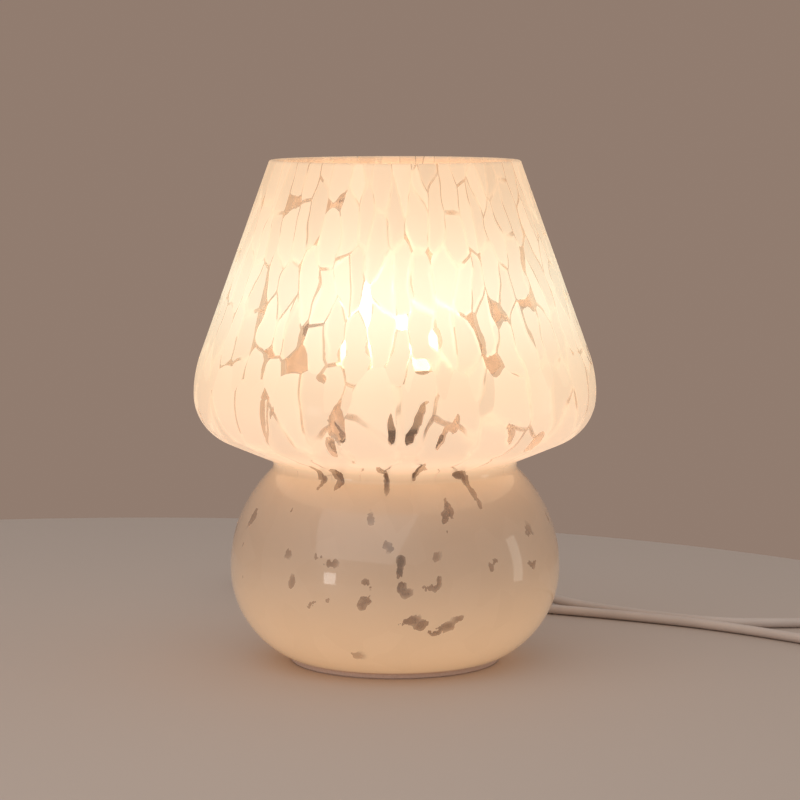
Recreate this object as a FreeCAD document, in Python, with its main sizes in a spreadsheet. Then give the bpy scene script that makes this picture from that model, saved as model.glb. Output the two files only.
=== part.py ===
import FreeCAD, Part
import math
import os
import re

import Sketcher
from FreeCAD import Placement, Rotation, Vector

# A mushroom table lamp: a one-piece blown glass shade and body, a lamp holder on a sprung clip in the
# glass neck, a screw-in bulb, and a mains lead with an in-line rocker switch, a coil and a flat plug.
# Millimetres, +Z up, origin under the centre of the foot pad. +Y is the lamp's back, where the lead is.

SIZES = [
    # name, value, what it measures
    ("lamp_height", 225.0, "table to the glass rim"),
    ("rim_radius", 55.8, "outside of the open top rim"),
    ("shade_radius", 90.1, "outside of the shade at its widest"),
    ("shade_widest_z", 120.8, "height of the shade's widest circle"),
    ("shoulder_arc", 54.0, "arc from the straight wall to the widest circle"),
    ("turn_under_arc", 22.2, "arc from the widest circle to the underside"),
    ("underside_slope", 23.0, "slope of the shade's underside, degrees"),
    ("neck_arc", 3.4, "outside hollow of the neck"),
    ("body_radius", 74.2, "outside of the body at its widest"),
    ("body_widest_z", 42.6, "height of the body's widest circle"),
    ("body_upper_arc", 60.9, "arc of the body above its widest circle"),
    ("body_lower_arc", 44.0, "arc of the body below its widest circle"),
    ("glass_wall", 2.8, "wall of the glass"),
    ("glass_floor", 4.0, "closed bottom of the glass"),
    ("rim_round", 1.2, "fire-polished edge of the rim"),
    ("foot_round", 2.0, "edge of the glass bottom"),
    ("pad_radius", 47.0, "foot pad"),
    ("pad_thickness", 2.3, "foot pad"),
    ("pad_edge", 0.5, "chamfer of the foot pad's lower edge"),
    ("outlet_height", 18.0, "centre of the lead's hole in the glass"),
    ("outlet_radius", 5.5, "the lead's hole in the glass"),
    ("grommet_flange_radius", 8.2, "both flanges of the grommet"),
    ("grommet_flange", 1.6, "each flange's thickness"),
    ("grommet_nose_radius", 4.6, "root of the grommet's tapered nose"),
    ("grommet_nose", 9.0, "length of the tapered nose"),
    ("grommet_lip", 0.9, "wall of the nose at its tip"),
    ("lead_inside", 5.0, "sheathed lead inside the glass, past the grommet"),
    ("cord_diameter", 4.6, "round two-core lead"),
    ("cord_gap", 0.1, "clearance round the lead in grommet and sleeves"),
    ("table_gap", 0.1, "lead and housings above the table, so that the pad alone carries the lamp"),
    ("wire_diameter", 2.0, "single wire inside the lamp"),
    ("wire_spacing", 2.6, "between the two wires inside the lamp"),
    ("wire_rise", 14.0, "wires straight on from the sheathed lead's end"),
    ("wire_end", 1.3, "end of a wire below its terminal"),
    ("mouth_rise", 10.4, "clip's ring to the top of the lamp holder"),
    ("holder_radius", 19.6, "outside of the holder's shell"),
    ("holder_wall", 1.6, "holder shell and cap"),
    ("holder_shell_length", 38.0, "the threaded shell"),
    ("holder_cap_length", 21.0, "the domed cap under the shell"),
    ("cap_boss_radius", 8.5, "boss at the cap's lower end"),
    ("cap_boss_length", 9.0, "boss at the cap's lower end"),
    ("nipple_radius", 5.0, "hollow threaded nipple"),
    ("nipple_bore", 3.9, "bore of the nipple, radius"),
    ("nipple_length", 15.5, "hollow threaded nipple"),
    ("nipple_end", 2.0, "nipple that stands out under its nut"),
    ("bush_flange", 1.2, "flange of the wire bush, in radius and in height"),
    ("bush_length", 4.0, "wire bush inside the nipple"),
    ("nut_width", 14.0, "lock nut across flats"),
    ("nut_thickness", 3.0, "lock nut"),
    ("thread_gap", 0.05, "radial clearance of the plain threads"),
    ("ring_radius", 26.0, "outside of the two clamp rings"),
    ("ring_height", 5.0, "each clamp ring"),
    ("ring_step", 3.0, "flange of a clamp ring, beyond its collar"),
    ("ring_notches", 24, "grip notches round each clamp ring"),
    ("notch_radius", 1.0, "one grip notch"),
    ("clip_rise", 1.1, "middle of the clip's flat ring above the shelf in the glass"),
    ("clip_thickness", 0.8, "spring steel strip"),
    ("clip_ring_radius", 25.0, "outside of the clip's flat ring"),
    ("clip_bend", 2.0, "bends of the strip, middle radius"),
    ("arm_width", 6.0, "each of the clip's strips"),
    ("arm_lap", 1.0, "strip inside the clip's flat ring"),
    ("arm_count", 3, "legs, and rests between them"),
    ("leg_bend_radius", 44.0, "where a leg bends down, from the axis"),
    ("leg_gap", 2.6, "leg to the glass inside the neck"),
    ("leg_reach", 17.3, "neck down to where a leg's tip presses on the glass"),
    ("rest_length", 8.0, "sloping end of a rest on the glass"),
    ("sleeve_wall", 1.0, "soft sleeve round a strip's end"),
    ("sleeve_length", 7.0, "soft sleeve"),
    ("sleeve_press", 0.1, "sleeve squeezed by the glass"),
    ("leg_turn", 21.0, "first leg from +X, degrees"),
    ("block_radius", 17.4, "ceramic contact block"),
    ("block_height", 8.0, "ceramic contact block"),
    ("block_ledge", 1.6, "ledge in the cap under the contact block"),
    ("block_clearance", 2.4, "bulb's screw cap above the hub"),
    ("block_hub_radius", 12.0, "hub that carries the screw shell"),
    ("block_hub_height", 4.6, "hub that carries the screw shell"),
    ("contact_well_radius", 8.2, "recess of the centre contact"),
    ("contact_well_depth", 6.5, "recess of the centre contact"),
    ("screw_shell_radius", 13.9, "outside of the brass screw shell"),
    ("screw_shell_wall", 0.5, "brass screw shell"),
    ("screw_shell_height", 23.0, "brass screw shell"),
    ("screw_shell_seat", 1.0, "opening in the shell's floor, beyond the contact's recess"),
    ("leaf_thickness", 0.5, "centre contact's spring leaf"),
    ("leaf_width", 5.0, "centre contact's spring leaf"),
    ("leaf_span", 14.0, "centre contact's arch"),
    ("contact_play", 0.3, "centre contact to the bulb's tip"),
    ("terminal_radius", 2.6, "terminal screw head"),
    ("terminal_height", 2.4, "terminal screw head"),
    ("terminal_spacing", 13.0, "between the two terminal screws"),
    ("bulb_depth", 36.0, "bulb inside the holder, to the tip of its centre contact"),
    ("bulb_radius", 30.0, "globe"),
    ("globe_foot", 15.0, "globe's widest circle above its foot"),
    ("housing_reach", 63.0, "tip of the contact to the globe's foot"),
    ("globe_wall", 1.2, "diffuser"),
    ("bulb_cap_radius", 13.1, "screw cap of the bulb"),
    ("bulb_cap_wall", 0.4, "screw cap of the bulb"),
    ("bulb_cap_taper", 1.0, "bevel at the foot of the screw cap, in radius"),
    ("bulb_cap_bevel", 1.5, "bevel at the foot of the screw cap, in height"),
    ("housing_spigot", 5.0, "housing's spigot above the foot of the screw cap"),
    ("bulb_cap_reach", 26.0, "tip of the contact to the upper edge of the screw cap"),
    ("bulb_button_radius", 4.8, "centre contact of the bulb"),
    ("bulb_button_height", 1.5, "centre contact of the bulb"),
    ("bulb_glass_height", 3.5, "black insulator between contact and cap"),
    ("housing_wall", 1.6, "bulb housing"),
    ("led_board_thickness", 1.6, "board that carries the light sources"),
    ("led_count", 10, "light sources round the board"),
    ("led_size", 3.0, "one light source"),
    ("led_height", 0.8, "one light source"),
    ("led_circle_radius", 17.0, "circle of light sources"),
    ("switch_length", 54.0, "in-line switch"),
    ("switch_width", 24.0, "in-line switch"),
    ("switch_height", 15.0, "in-line switch"),
    ("switch_wall", 1.8, "switch housing"),
    ("switch_corner", 9.0, "corners of the switch seen from above"),
    ("switch_edge", 1.6, "rounded edges of the switch"),
    ("switch_end", 5.0, "solid end of the housing halves"),
    ("post_radius", 2.6, "screw posts"),
    ("post_inset", 9.0, "screw posts from the ends of the switch"),
    ("post_offset", 7.0, "screw posts from the middle line of the switch"),
    ("cheek_thickness", 2.4, "bearing cheeks beside the rocker"),
    ("cheek_depth", 3.4, "bearing cheeks below the roof of the switch"),
    ("cheek_length", 7.0, "bearing cheeks along the switch"),
    ("switch_x", 3.0, "middle of the switch"),
    ("switch_y", 146.0, "middle of the switch"),
    ("rocker_length", 19.0, "rocker along the switch"),
    ("rocker_width", 10.4, "rocker across the switch"),
    ("rocker_gap", 0.45, "rocker to its window"),
    ("rocker_tilt", 10.0, "rocker each way from level, degrees"),
    ("rocker_rise", 1.3, "rocker's middle above the housing"),
    ("rocker_side", 0.2, "lower edge of the rocker's ends above its axle"),
    ("belly_drop", 2.6, "rocker's belly below its axle"),
    ("belly_length", 9.2, "rocker's belly along the switch"),
    ("belly_arc", 7.0, "rocker's belly"),
    ("axle_depth", 2.2, "rocker's axle below the top of the switch"),
    ("rocker_axle_radius", 1.3, "rocker's two stub axles"),
    ("rocker_axle_length", 1.5, "each stub axle"),
    ("axle_gap", 0.09, "stub axle in its bearing"),
    ("screw_radius", 1.1, "housing screw"),
    ("screw_head_radius", 2.0, "housing screw head"),
    ("screw_head_height", 1.2, "housing screw head"),
    ("screw_bite", 3.0, "screw in the upper half"),
    ("screw_sunk", 0.3, "screw head below the face"),
    ("screw_slot_width", 0.5, "slot in a screw's head"),
    ("screw_slot_length", 2.4, "slot in a housing screw's head"),
    ("contact_length", 30.0, "brass strips in the switch"),
    ("contact_width", 4.0, "brass strips in the switch"),
    ("contact_spread", 7.0, "between the two brass strips"),
    ("contact_height", 1.2, "brass strips in the switch"),
    ("contact_break", 7.0, "gap in the switched strip"),
    ("relief_length", 14.0, "moulded sleeve at each end of the switch"),
    ("relief_root_radius", 4.2, "wide end of a moulded sleeve"),
    ("relief_tip_radius", 3.1, "narrow end of a moulded sleeve"),
    ("relief_grip", 3.0, "part of a sleeve held inside its housing"),
    ("plug_width", 35.3, "flat two-pin plug"),
    ("plug_thickness", 13.7, "flat two-pin plug"),
    ("plug_length", 34.0, "flat two-pin plug without its pins"),
    ("plug_tail_width", 13.0, "plug at the lead's end"),
    ("plug_straight", 12.0, "parallel part behind the plug's face"),
    ("plug_edge", 3.0, "rounded edges of the plug"),
    ("plug_shoulder", 9.0, "rounded shoulders of the plug seen from above"),
    ("pin_radius", 2.0, "plug pins"),
    ("pin_length", 19.0, "plug pins, free length"),
    ("pin_spacing", 18.6, "between the pins at the plug's face"),
    ("pin_root", 6.0, "pin inside the plug"),
    ("pin_root_radius", 1.6, "pin inside the plug"),
    ("pin_step", 0.3, "thin root that shows in front of the plug's face"),
    ("pin_lean_in", 0.55, "each pin's tip towards the other pin"),
    ("plug_relief_length", 20.0, "tapered sleeve behind the plug"),
    ("plug_relief_radius", 4.8, "wide end of the plug's sleeve"),
    ("coil_x", -42.0, "middle of the coil"),
    ("coil_y", 190.0, "middle of the coil"),
    ("coil_outer_radius", 35.0, "middle line of the coil's outer turn"),
    ("coil_turns", 6.25, "turns in two layers"),
    ("coil_gap", 0.55, "between neighbouring turns"),
    ("plug_lead", 48.0, "middle of the coil to the plug's sleeve"),
    ("coil_lead_in", 9.0, "lead in line with the coil's first turn"),
    ("coil_lead_out", 12.0, "lead in line with the coil's last turn, and with the plug"),
    ("tie_thickness", 0.8, "strap that holds the coil"),
    ("tie_width", 7.0, "strap that holds the coil"),
    ("tie_gap", 0.45, "strap to lead"),
]

WORKED_OUT = [
    # name, formula, what it is
    ("shoulder_mid", "shade_radius - shoulder_arc", "centre of the shoulder arc, from the axis"),
    ("turn_mid", "shade_radius - turn_under_arc", "centre of the turn-under arc"),
    ("upper_mid", "body_radius - body_upper_arc", "centre of the upper body arc"),
    ("lower_mid", "body_radius - body_lower_arc", "centre of the lower body arc"),
    ("rim_rise", "lamp_height - shade_widest_z", "rim above the widest circle"),
    ("rim_reach", "hypot(rim_rise; rim_radius - shoulder_mid)", "rim from the shoulder's centre"),
    ("wall_tilt", "atan2(rim_rise; rim_radius - shoulder_mid) - acos(shoulder_arc / rim_reach)",
     "straight wall from upright"),
    ("slope_sin", "sin(underside_slope * 1 deg)", "across the underside"),
    ("slope_cos", "cos(underside_slope * 1 deg)", "along the underside"),
    ("under_r", "turn_mid + turn_under_arc * slope_sin", "outer end of the underside"),
    ("under_z", "shade_widest_z - turn_under_arc * slope_cos", "outer end of the underside"),
    ("neck_off", "neck_arc - (upper_mid - under_r) * slope_sin + (body_widest_z - under_z) * slope_cos",
     "neck centre from the body's centre, across the underside"),
    ("neck_along", "sqrt((body_upper_arc + neck_arc)^2 - neck_off^2)", "the same, along the underside"),
    ("neck_mid", "upper_mid + neck_off * slope_sin + neck_along * slope_cos", "centre of the neck's hollow"),
    ("neck_z", "body_widest_z - neck_off * slope_cos + neck_along * slope_sin", "centre of the hollow"),
    ("neck_lean", "atan2(neck_z - body_widest_z; neck_mid - upper_mid)", "where hollow and body meet"),
    ("neck_bore", "neck_mid - neck_arc - glass_wall", "inside of the neck"),
    ("floor_z", "pad_thickness + glass_floor", "inside bottom of the glass"),
    ("outlet_slope", "asin((body_widest_z - outlet_height) / body_lower_arc)", "hole's axis below level"),
    ("outlet_y", "lower_mid + body_lower_arc * cos(outlet_slope)", "hole's centre on the glass"),
    ("cord_radius", "cord_diameter / 2", "lead"),
    ("shelf_r", "neck_mid - (neck_arc + glass_wall) * slope_sin", "inner end of the shade's floor"),
    ("shelf_z", "neck_z + (neck_arc + glass_wall) * slope_cos", "inner end of the shade's floor"),
    ("clip_height", "shelf_z + clip_rise", "middle of the clip's flat ring"),
    ("mouth_z", "clip_height + mouth_rise", "top of the lamp holder"),
    ("bulb_seat_z", "mouth_z - bulb_depth", "tip of the bulb's centre contact"),
    ("bulb_cap_top_z", "bulb_seat_z + bulb_cap_reach", "upper edge of the screw cap"),
    ("globe_foot_z", "bulb_seat_z + housing_reach", "where the globe meets the housing"),
    ("globe_arc_z", "globe_foot_z + globe_foot", "height of the globe's widest circle"),
    ("bulb_cap_foot_z", "bulb_seat_z + bulb_button_height + bulb_glass_height", "screw cap's lower edge"),
    ("globe_foot_r", "sqrt(bulb_radius^2 - (globe_arc_z - globe_foot_z)^2)", "globe at the housing"),
    ("shell_base_z", "mouth_z - holder_shell_length", "lower edge of the holder's shell"),
    ("cap_base_z", "shell_base_z - holder_cap_length", "lower edge of the dome"),
    ("boss_base_z", "cap_base_z - cap_boss_length + holder_wall", "lower face of the boss"),
    ("nipple_base_z", "boss_base_z - nut_thickness - nipple_end", "lower end of the nipple"),
    ("hub_top_z", "bulb_cap_foot_z - block_clearance", "top of the contact block's hub"),
    ("block_top_z", "hub_top_z - block_hub_height", "shoulder of the contact block"),
    ("block_base_z", "block_top_z - block_height", "underside of the contact block"),
    ("well_z", "hub_top_z - contact_well_depth", "floor of the contact's recess"),
    ("leaf_rise", "bulb_seat_z - contact_play - well_z", "height of the centre contact's arch"),
    ("leaf_arc", "(leaf_span^2 / 4 + leaf_rise^2) / (2 * leaf_rise)", "centre contact's outer arc"),
    ("leaf_inside", "((leaf_span / 2 - leaf_thickness)^2 + (leaf_rise - leaf_thickness)^2)"
     " / (2 * (leaf_rise - leaf_thickness))", "centre contact's inner arc"),
    ("clip_under_z", "clip_height - clip_thickness / 2", "underside of the clip's ring"),
    ("clip_over_z", "clip_height + clip_thickness / 2", "top of the clip's ring"),
    ("rest_lift", "sleeve_wall + clip_thickness / 2 - sleeve_press", "glass to the middle of a strip's end"),
    ("rest_line_r", "shelf_r - rest_lift * slope_sin", "a rest's line above the shade's floor"),
    ("rest_line_z", "shelf_z + rest_lift * slope_cos", "a rest's line above the shade's floor"),
    ("rest_bend_r", "rest_line_r - (rest_line_z - clip_height) * slope_cos / slope_sin", "a rest's bend"),
    ("leg_knee_r", "neck_bore - leg_gap", "a leg beside the neck"),
    ("foot_rise", "neck_z - leg_reach - body_widest_z", "a leg's tip above the body's centre"),
    ("foot_lean", "asin(foot_rise / (body_upper_arc - glass_wall))", "slope of the glass at the tip"),
    ("foot_arc", "body_upper_arc - glass_wall - rest_lift", "a tip's distance from the body's centre"),
    ("leg_tip_r", "upper_mid + foot_arc * cos(foot_lean)", "a leg's tip"),
    ("leg_tip_z", "body_widest_z + foot_arc * sin(foot_lean)", "a leg's tip"),
    ("leg_lean", "atan2(neck_z - leg_tip_z; leg_tip_r - leg_knee_r)", "a leg's slope below level"),
    ("lead_z", "cord_radius + table_gap", "middle of the lead on the table"),
    ("switch_mid_z", "switch_height / 2 + table_gap", "joint face of the switch, and its leads"),
    ("rocker_axis_z", "table_gap + switch_height - axle_depth", "rocker's axle"),
    ("plug_mid_z", "plug_thickness / 2 + table_gap", "middle of the plug"),
    ("coil_pitch", "cord_diameter + coil_gap", "from turn to turn and layer to layer"),
    ("coil_low_z", "table_gap + tie_thickness + tie_gap + cord_radius", "lower layer of the coil"),
    ("coil_high_z", "coil_low_z + coil_pitch", "upper layer of the coil"),
    ("coil_far_y", "coil_y + coil_outer_radius", "where the lead leaves the coil"),
    ("plug_tail_x", "coil_x + plug_lead", "start of the plug's tapered sleeve"),
    ("plug_back_x", "plug_tail_x + plug_relief_length - relief_grip", "back of the plug"),
    ("plug_face_x", "plug_back_x + plug_length", "face of the plug"),
    ("post_x", "switch_length / 2 - post_inset", "screw posts from the middle of the switch"),
    ("cheek_near", "rocker_width / 2 + rocker_gap", "inner face of a bearing cheek"),
    ("pin_lean", "asin(pin_lean_in / pin_length)", "each pin leans in towards the other"),
]

doc = FreeCAD.newDocument("mushroom_lamp")
sheet = doc.addObject("Spreadsheet::Sheet", "sizes")
NAMES = {row[0] for row in SIZES} | {row[0] for row in WORKED_OUT}
parts = []

RUN_SHARE = 0.45  # part of the shorter run that an arc of a lead takes up
# Hand-chosen points of the lead, in millimetres. On the table only the heights are worked out: the lead
# drops from the grommet, runs out to a loop at the right and comes back to the switch and the coil.
WIRE_BENDS = [(28, 21), (7, 15), (0, 27)]
LEAD_ON_TABLE = [
    (3, 108), (18, 121), (44, 120.5), (78, 105.5), (118, 85.5), (150, 66), (181, 39.8), (207, 12.5),
    (235, 14.5), (250, 39), (240, 65), (213, 72), (180, 69.5), (157, 71), (127.5, 87), (104, 105.5),
    (87, 121),
]
LEAD_UP_TO_SWITCH = [(71, 139.5, 4.0), (56.5, 146, 7.5)]
LEAD_DOWN_TO_COIL = [(-50.5, 146.5, 7.3), (-66, 152.5, 4.6), (-75.4, 166.5, 3.6)]


def fill_sheet():
    """Driving sizes as plain numbers, then the sizes worked out from them as formulas."""
    for line, (name, value, note) in enumerate(SIZES + WORKED_OUT, start=1):
        sheet.set(f"A{line}", name)
        sheet.set(f"B{line}", str(value) if line <= len(SIZES) else "=" + value)
        sheet.set(f"C{line}", note)
        sheet.setAlias(f"B{line}", name)
    doc.recompute()


def bound(text):
    """An expression in the sheet's names, as other objects of the document read it."""
    return re.sub(r"[a-z_]+", lambda word: "sizes." + word[0] if word[0] in NAMES else word[0], str(text))


def number(text):
    value = sheet.evalExpression(bound(text))
    return float(getattr(value, "Value", value))


def new_body(label):
    body = doc.addObject("PartDesign::Body", label)
    body.Label = label
    return body


def keep(shape_object, label):
    """Marks a finished sub-part, whose label is its file's name."""
    shape_object.Label = label
    parts.append(shape_object)
    return shape_object


def sketch_on(body, name, role="XZ_Plane", lift=None):
    """A sketch on one of the body's own planes, lifted off it along the plane's normal."""
    sketch = body.newObject("Sketcher::SketchObject", name)
    plane = [feature for feature in body.Origin.OriginFeatures if feature.Role == role][0]
    sketch.AttachmentSupport = [(plane, "")]
    sketch.MapMode = "FlatFace"
    if lift is not None:
        sketch.setExpression("AttachmentOffset.Base.z", bound(lift))
    return sketch


def pin_down(sketch, shape, end, across, up):
    """Fixes one point of a sketch at two expressions. A zero puts it on the axis instead."""
    for kind, axis, text in (("DistanceX", -2, across), ("DistanceY", -1, up)):
        if abs(number(text)) < 1e-9:
            sketch.addConstraint(Sketcher.Constraint("PointOnObject", shape, end, axis))
            continue
        row = sketch.addConstraint(Sketcher.Constraint(kind, shape, end, number(text)))
        sketch.setExpression(f"Constraints[{row}]", bound(text))


def arc_between(start, stop, radius, turn):
    """The shorter arc from start to stop. turn is +1 to go round anticlockwise and -1 clockwise."""
    chord = stop - start
    middle = start + chord * 0.5
    height = math.sqrt(max(radius**2 - chord.Length**2 / 4, 0.0))
    centre = middle + Vector(-chord.y, chord.x, 0).normalize() * height * turn
    first, last = (start, stop) if turn > 0 else (stop, start)
    angles = [math.atan2(end.y - centre.y, end.x - centre.x) for end in (first, last)]
    circle = Part.Circle(centre, Vector(0, 0, 1), radius)
    return Part.ArcOfCircle(circle, angles[0], angles[1] + (math.tau if angles[1] < angles[0] else 0))


def outline(sketch, points, arcs=None):
    """A closed outline: points are pairs of expressions, and arcs gives side number: (radius, turn)."""
    arcs = arcs or {}
    corners = [Vector(number(across), number(up), 0) for across, up in points]
    first = sketch.GeometryCount
    ends = []
    for side, (start, stop) in enumerate(zip(corners, corners[1:] + corners[:1])):
        if side in arcs:
            radius, turn = arcs[side]
            shape = sketch.addGeometry(arc_between(start, stop, number(radius), turn), False)
            ends.append((shape, 1, 2) if turn > 0 else (shape, 2, 1))
        else:
            ends.append((sketch.addGeometry(Part.LineSegment(start, stop), False), 1, 2))
    for side, (shape, begin, _) in enumerate(ends):
        before, _, finish = ends[side - 1]
        sketch.addConstraint(Sketcher.Constraint("Coincident", before, finish, shape, begin))
        pin_down(sketch, shape, begin, *points[side])
    for side, (radius, _) in arcs.items():
        row = sketch.addConstraint(Sketcher.Constraint("Radius", first + side, number(radius)))
        sketch.setExpression(f"Constraints[{row}]", bound(radius))
    return sketch


def circle(sketch, radius, across="0", up="0"):
    """A circle of a given radius, centred on two expressions."""
    centre = Vector(number(across), number(up), 0)
    shape = sketch.addGeometry(Part.Circle(centre, Vector(0, 0, 1), number(radius)), False)
    pin_down(sketch, shape, 3, across, up)
    row = sketch.addConstraint(Sketcher.Constraint("Radius", shape, number(radius)))
    sketch.setExpression(f"Constraints[{row}]", bound(radius))


def rectangle(sketch, low_across, low_up, high_across, high_up):
    low_across, low_up, high_across, high_up = map(str, (low_across, low_up, high_across, high_up))
    corners = [(low_across, low_up), (high_across, low_up), (high_across, high_up), (low_across, high_up)]
    return outline(sketch, corners)


def revolve(body, name, points, arcs=None):
    """A solid of revolution about the body's Z axis, from a half outline in across and up."""
    sketch = outline(sketch_on(body, name + "_outline"), points, arcs)
    turned = body.newObject("PartDesign::Revolution", name)
    turned.Profile = sketch
    turned.ReferenceAxis = (sketch, ["V_Axis"])
    turned.Angle = 360
    doc.recompute()
    return turned


def turned_part(label, points, arcs=None, edges=None):
    """A turned sub-part. edges rounds or bevels circles: (kind, size, [(radius, height), ...])."""
    body = new_body(label)
    feature = revolve(body, label + "_turned", points, arcs)
    for kind, size, circles in edges or []:
        feature = dress(body, feature, kind, size, circles)
    return keep(body, label)


def dress(body, feature, kind, size, circles):
    """Rounds ("Fillet") or bevels ("Chamfer") the feature's circular edges of given radius and height."""
    wanted = [(number(radius), number(height)) for radius, height in circles]
    names = []
    for index, edge in enumerate(feature.Shape.Edges, start=1):
        if not isinstance(edge.Curve, Part.Circle):
            continue
        for radius, height in wanted:
            if abs(edge.Curve.Radius - radius) < 1e-4 and abs(edge.Curve.Center.z - height) < 1e-4:
                names.append(f"Edge{index}")
    return finish_edges(body, feature, kind, size, names)


def finish_edges(body, feature, kind, size, names):
    if not names:
        raise ValueError(f"{body.Label} has no such edge to finish")
    finished = body.newObject("PartDesign::" + kind, f"{body.Label}_{kind.lower()}_{len(body.Group)}")
    finished.Base = (feature, names)
    finished.setExpression("Radius" if kind == "Fillet" else "Size", bound(size))
    doc.recompute()
    return finished


def pad(body, name, sketch, length, both_ways=False):
    raised = body.newObject("PartDesign::Pad", name)
    raised.Profile = sketch
    raised.Midplane = both_ways
    raised.setExpression("Length", bound(length))
    doc.recompute()
    return raised


def pocket(body, name, sketch, length, towards_normal=False, both_ways=False):
    before = body.Shape.Volume
    cut = body.newObject("PartDesign::Pocket", name)
    cut.Profile = sketch
    cut.Reversed = towards_normal
    cut.Midplane = both_ways
    cut.setExpression("Length", bound(length))
    doc.recompute()
    if body.Shape.Volume > before - 1e-6:
        raise ValueError(f"{name} cuts nothing")
    return cut


def round_the_axis(body, name, features, count):
    """Repeats features round the body's Z axis."""
    pattern = body.newObject("PartDesign::PolarPattern", name)
    pattern.Originals = features
    axis = [feature for feature in body.Origin.OriginFeatures if feature.Role == "Z_Axis"][0]
    pattern.Axis = (axis, [""])
    pattern.Angle = 360
    pattern.setExpression("Occurrences", bound(count))
    body.Tip = pattern
    doc.recompute()
    return pattern


def stand(shape_object, x="0", y="0", z="0", axis=None, angle="0"):
    """Places an object by expressions, turned by angle in degrees about one axis."""
    if axis is not None:
        shape_object.Placement = Placement(Vector(), Rotation(axis, max(number(angle), 1e-3)))
        shape_object.setExpression("Placement.Rotation.Angle", bound(angle))
    for letter, text in (("x", x), ("y", y), ("z", z)):
        shape_object.setExpression("Placement.Base." + letter, bound(text))
    return shape_object


# --- the glass ------------------------------------------------------------------------------------


def glass_line(inset, bottom):
    """The glass's half outline from the rim down to the bottom, moved inwards by inset."""
    shoulder = f"(shoulder_arc - {inset})"
    turn = f"(turn_under_arc - {inset})"
    neck = f"(neck_arc + {inset})"
    return [
        (f"rim_radius - {inset} / cos(wall_tilt)", "lamp_height"),
        (f"shoulder_mid + {shoulder} * cos(wall_tilt)", f"shade_widest_z + {shoulder} * sin(wall_tilt)"),
        (f"shade_radius - {inset}", "shade_widest_z"),
        (f"turn_mid + {turn} * slope_sin", f"shade_widest_z - {turn} * slope_cos"),
        (f"neck_mid - {neck} * slope_sin", f"neck_z + {neck} * slope_cos"),
        (f"neck_mid - {neck} * cos(neck_lean)", f"neck_z - {neck} * sin(neck_lean)"),
        (f"body_radius - {inset}", "body_widest_z"),
        (f"lower_mid + sqrt((body_lower_arc - {inset})^2 - (body_widest_z - {bottom})^2)", bottom),
        ("0", bottom),
    ]


def glass_arcs(inset):
    """The arcs of glass_line, as side number: (radius, turn)."""
    return {
        1: (f"shoulder_arc - {inset}", -1),
        2: (f"turn_under_arc - {inset}", -1),
        4: (f"neck_arc + {inset}", 1),
        5: (f"body_upper_arc - {inset}", -1),
        6: (f"body_lower_arc - {inset}", -1),
    }


def make_glass():
    """One blown piece, open at the rim, closed at the bottom, with the lead's hole drilled square to it."""
    outside = glass_line("0", "pad_thickness")
    inside = glass_line("glass_wall", "floor_z")
    last = len(outside) + len(inside) - 1
    arcs = glass_arcs("0")
    for side, (radius, turn) in glass_arcs("glass_wall").items():
        arcs[last - 1 - side] = (radius, -turn)
    body = new_body("glass_body")
    blown = revolve(body, "glass_blown", outside + inside[::-1], arcs)
    rim = dress(body, blown, "Fillet", "rim_round", [outside[0], inside[0]])
    dress(body, rim, "Fillet", "foot_round", [outside[7]])
    drill = sketch_on(body, "outlet_circle", "XY_Plane")
    lean = Rotation(Vector(-1, 0, 0), number("90 + outlet_slope / 1 deg"))
    drill.AttachmentOffset = Placement(Vector(), lean)
    drill.setExpression("AttachmentOffset.Rotation.Angle", bound("90 deg + outlet_slope"))
    drill.setExpression("AttachmentOffset.Base.y", bound("outlet_y"))
    drill.setExpression("AttachmentOffset.Base.z", bound("outlet_height"))
    circle(drill, "outlet_radius")
    pocket(body, "outlet_hole", drill, "glass_wall * 4")
    return keep(body, "glass_body")


def make_foot_pad():
    turned_part(
        "foot_pad",
        [("0", "0"), ("pad_radius", "0"), ("pad_radius", "pad_thickness"), ("0", "pad_thickness")],
        edges=[("Chamfer", "pad_edge", [("pad_radius", "0")])],
    )


def make_grommet(glass):
    """A soft bush in the glass's hole. The glass cuts its groove, so both flanges follow the wall."""
    bore = "cord_radius + cord_gap"
    inner_end = "0 - glass_wall - grommet_flange"
    nose_end = "grommet_flange + grommet_nose"
    blank = new_body("grommet_blank")
    revolve(blank, "grommet_turned", [
        (bore, inner_end),
        ("grommet_flange_radius", inner_end),
        ("grommet_flange_radius", "grommet_flange * 0.6"),
        ("grommet_flange_radius - grommet_flange * 0.4", "grommet_flange"),
        ("grommet_nose_radius", "grommet_flange"),
        (f"{bore} + grommet_lip", nose_end),
        (bore, nose_end),
    ], {2: ("grommet_flange * 0.4", 1)})
    stand(blank, "0", "outlet_y", "outlet_height", Vector(-1, 0, 0), "90 deg + outlet_slope")
    grommet = doc.addObject("Part::Cut", "cord_grommet")
    grommet.Base = blank
    grommet.Tool = glass
    doc.recompute()
    keep(grommet, "cord_grommet")


# --- the clip in the neck ---------------------------------------------------------------------------


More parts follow.
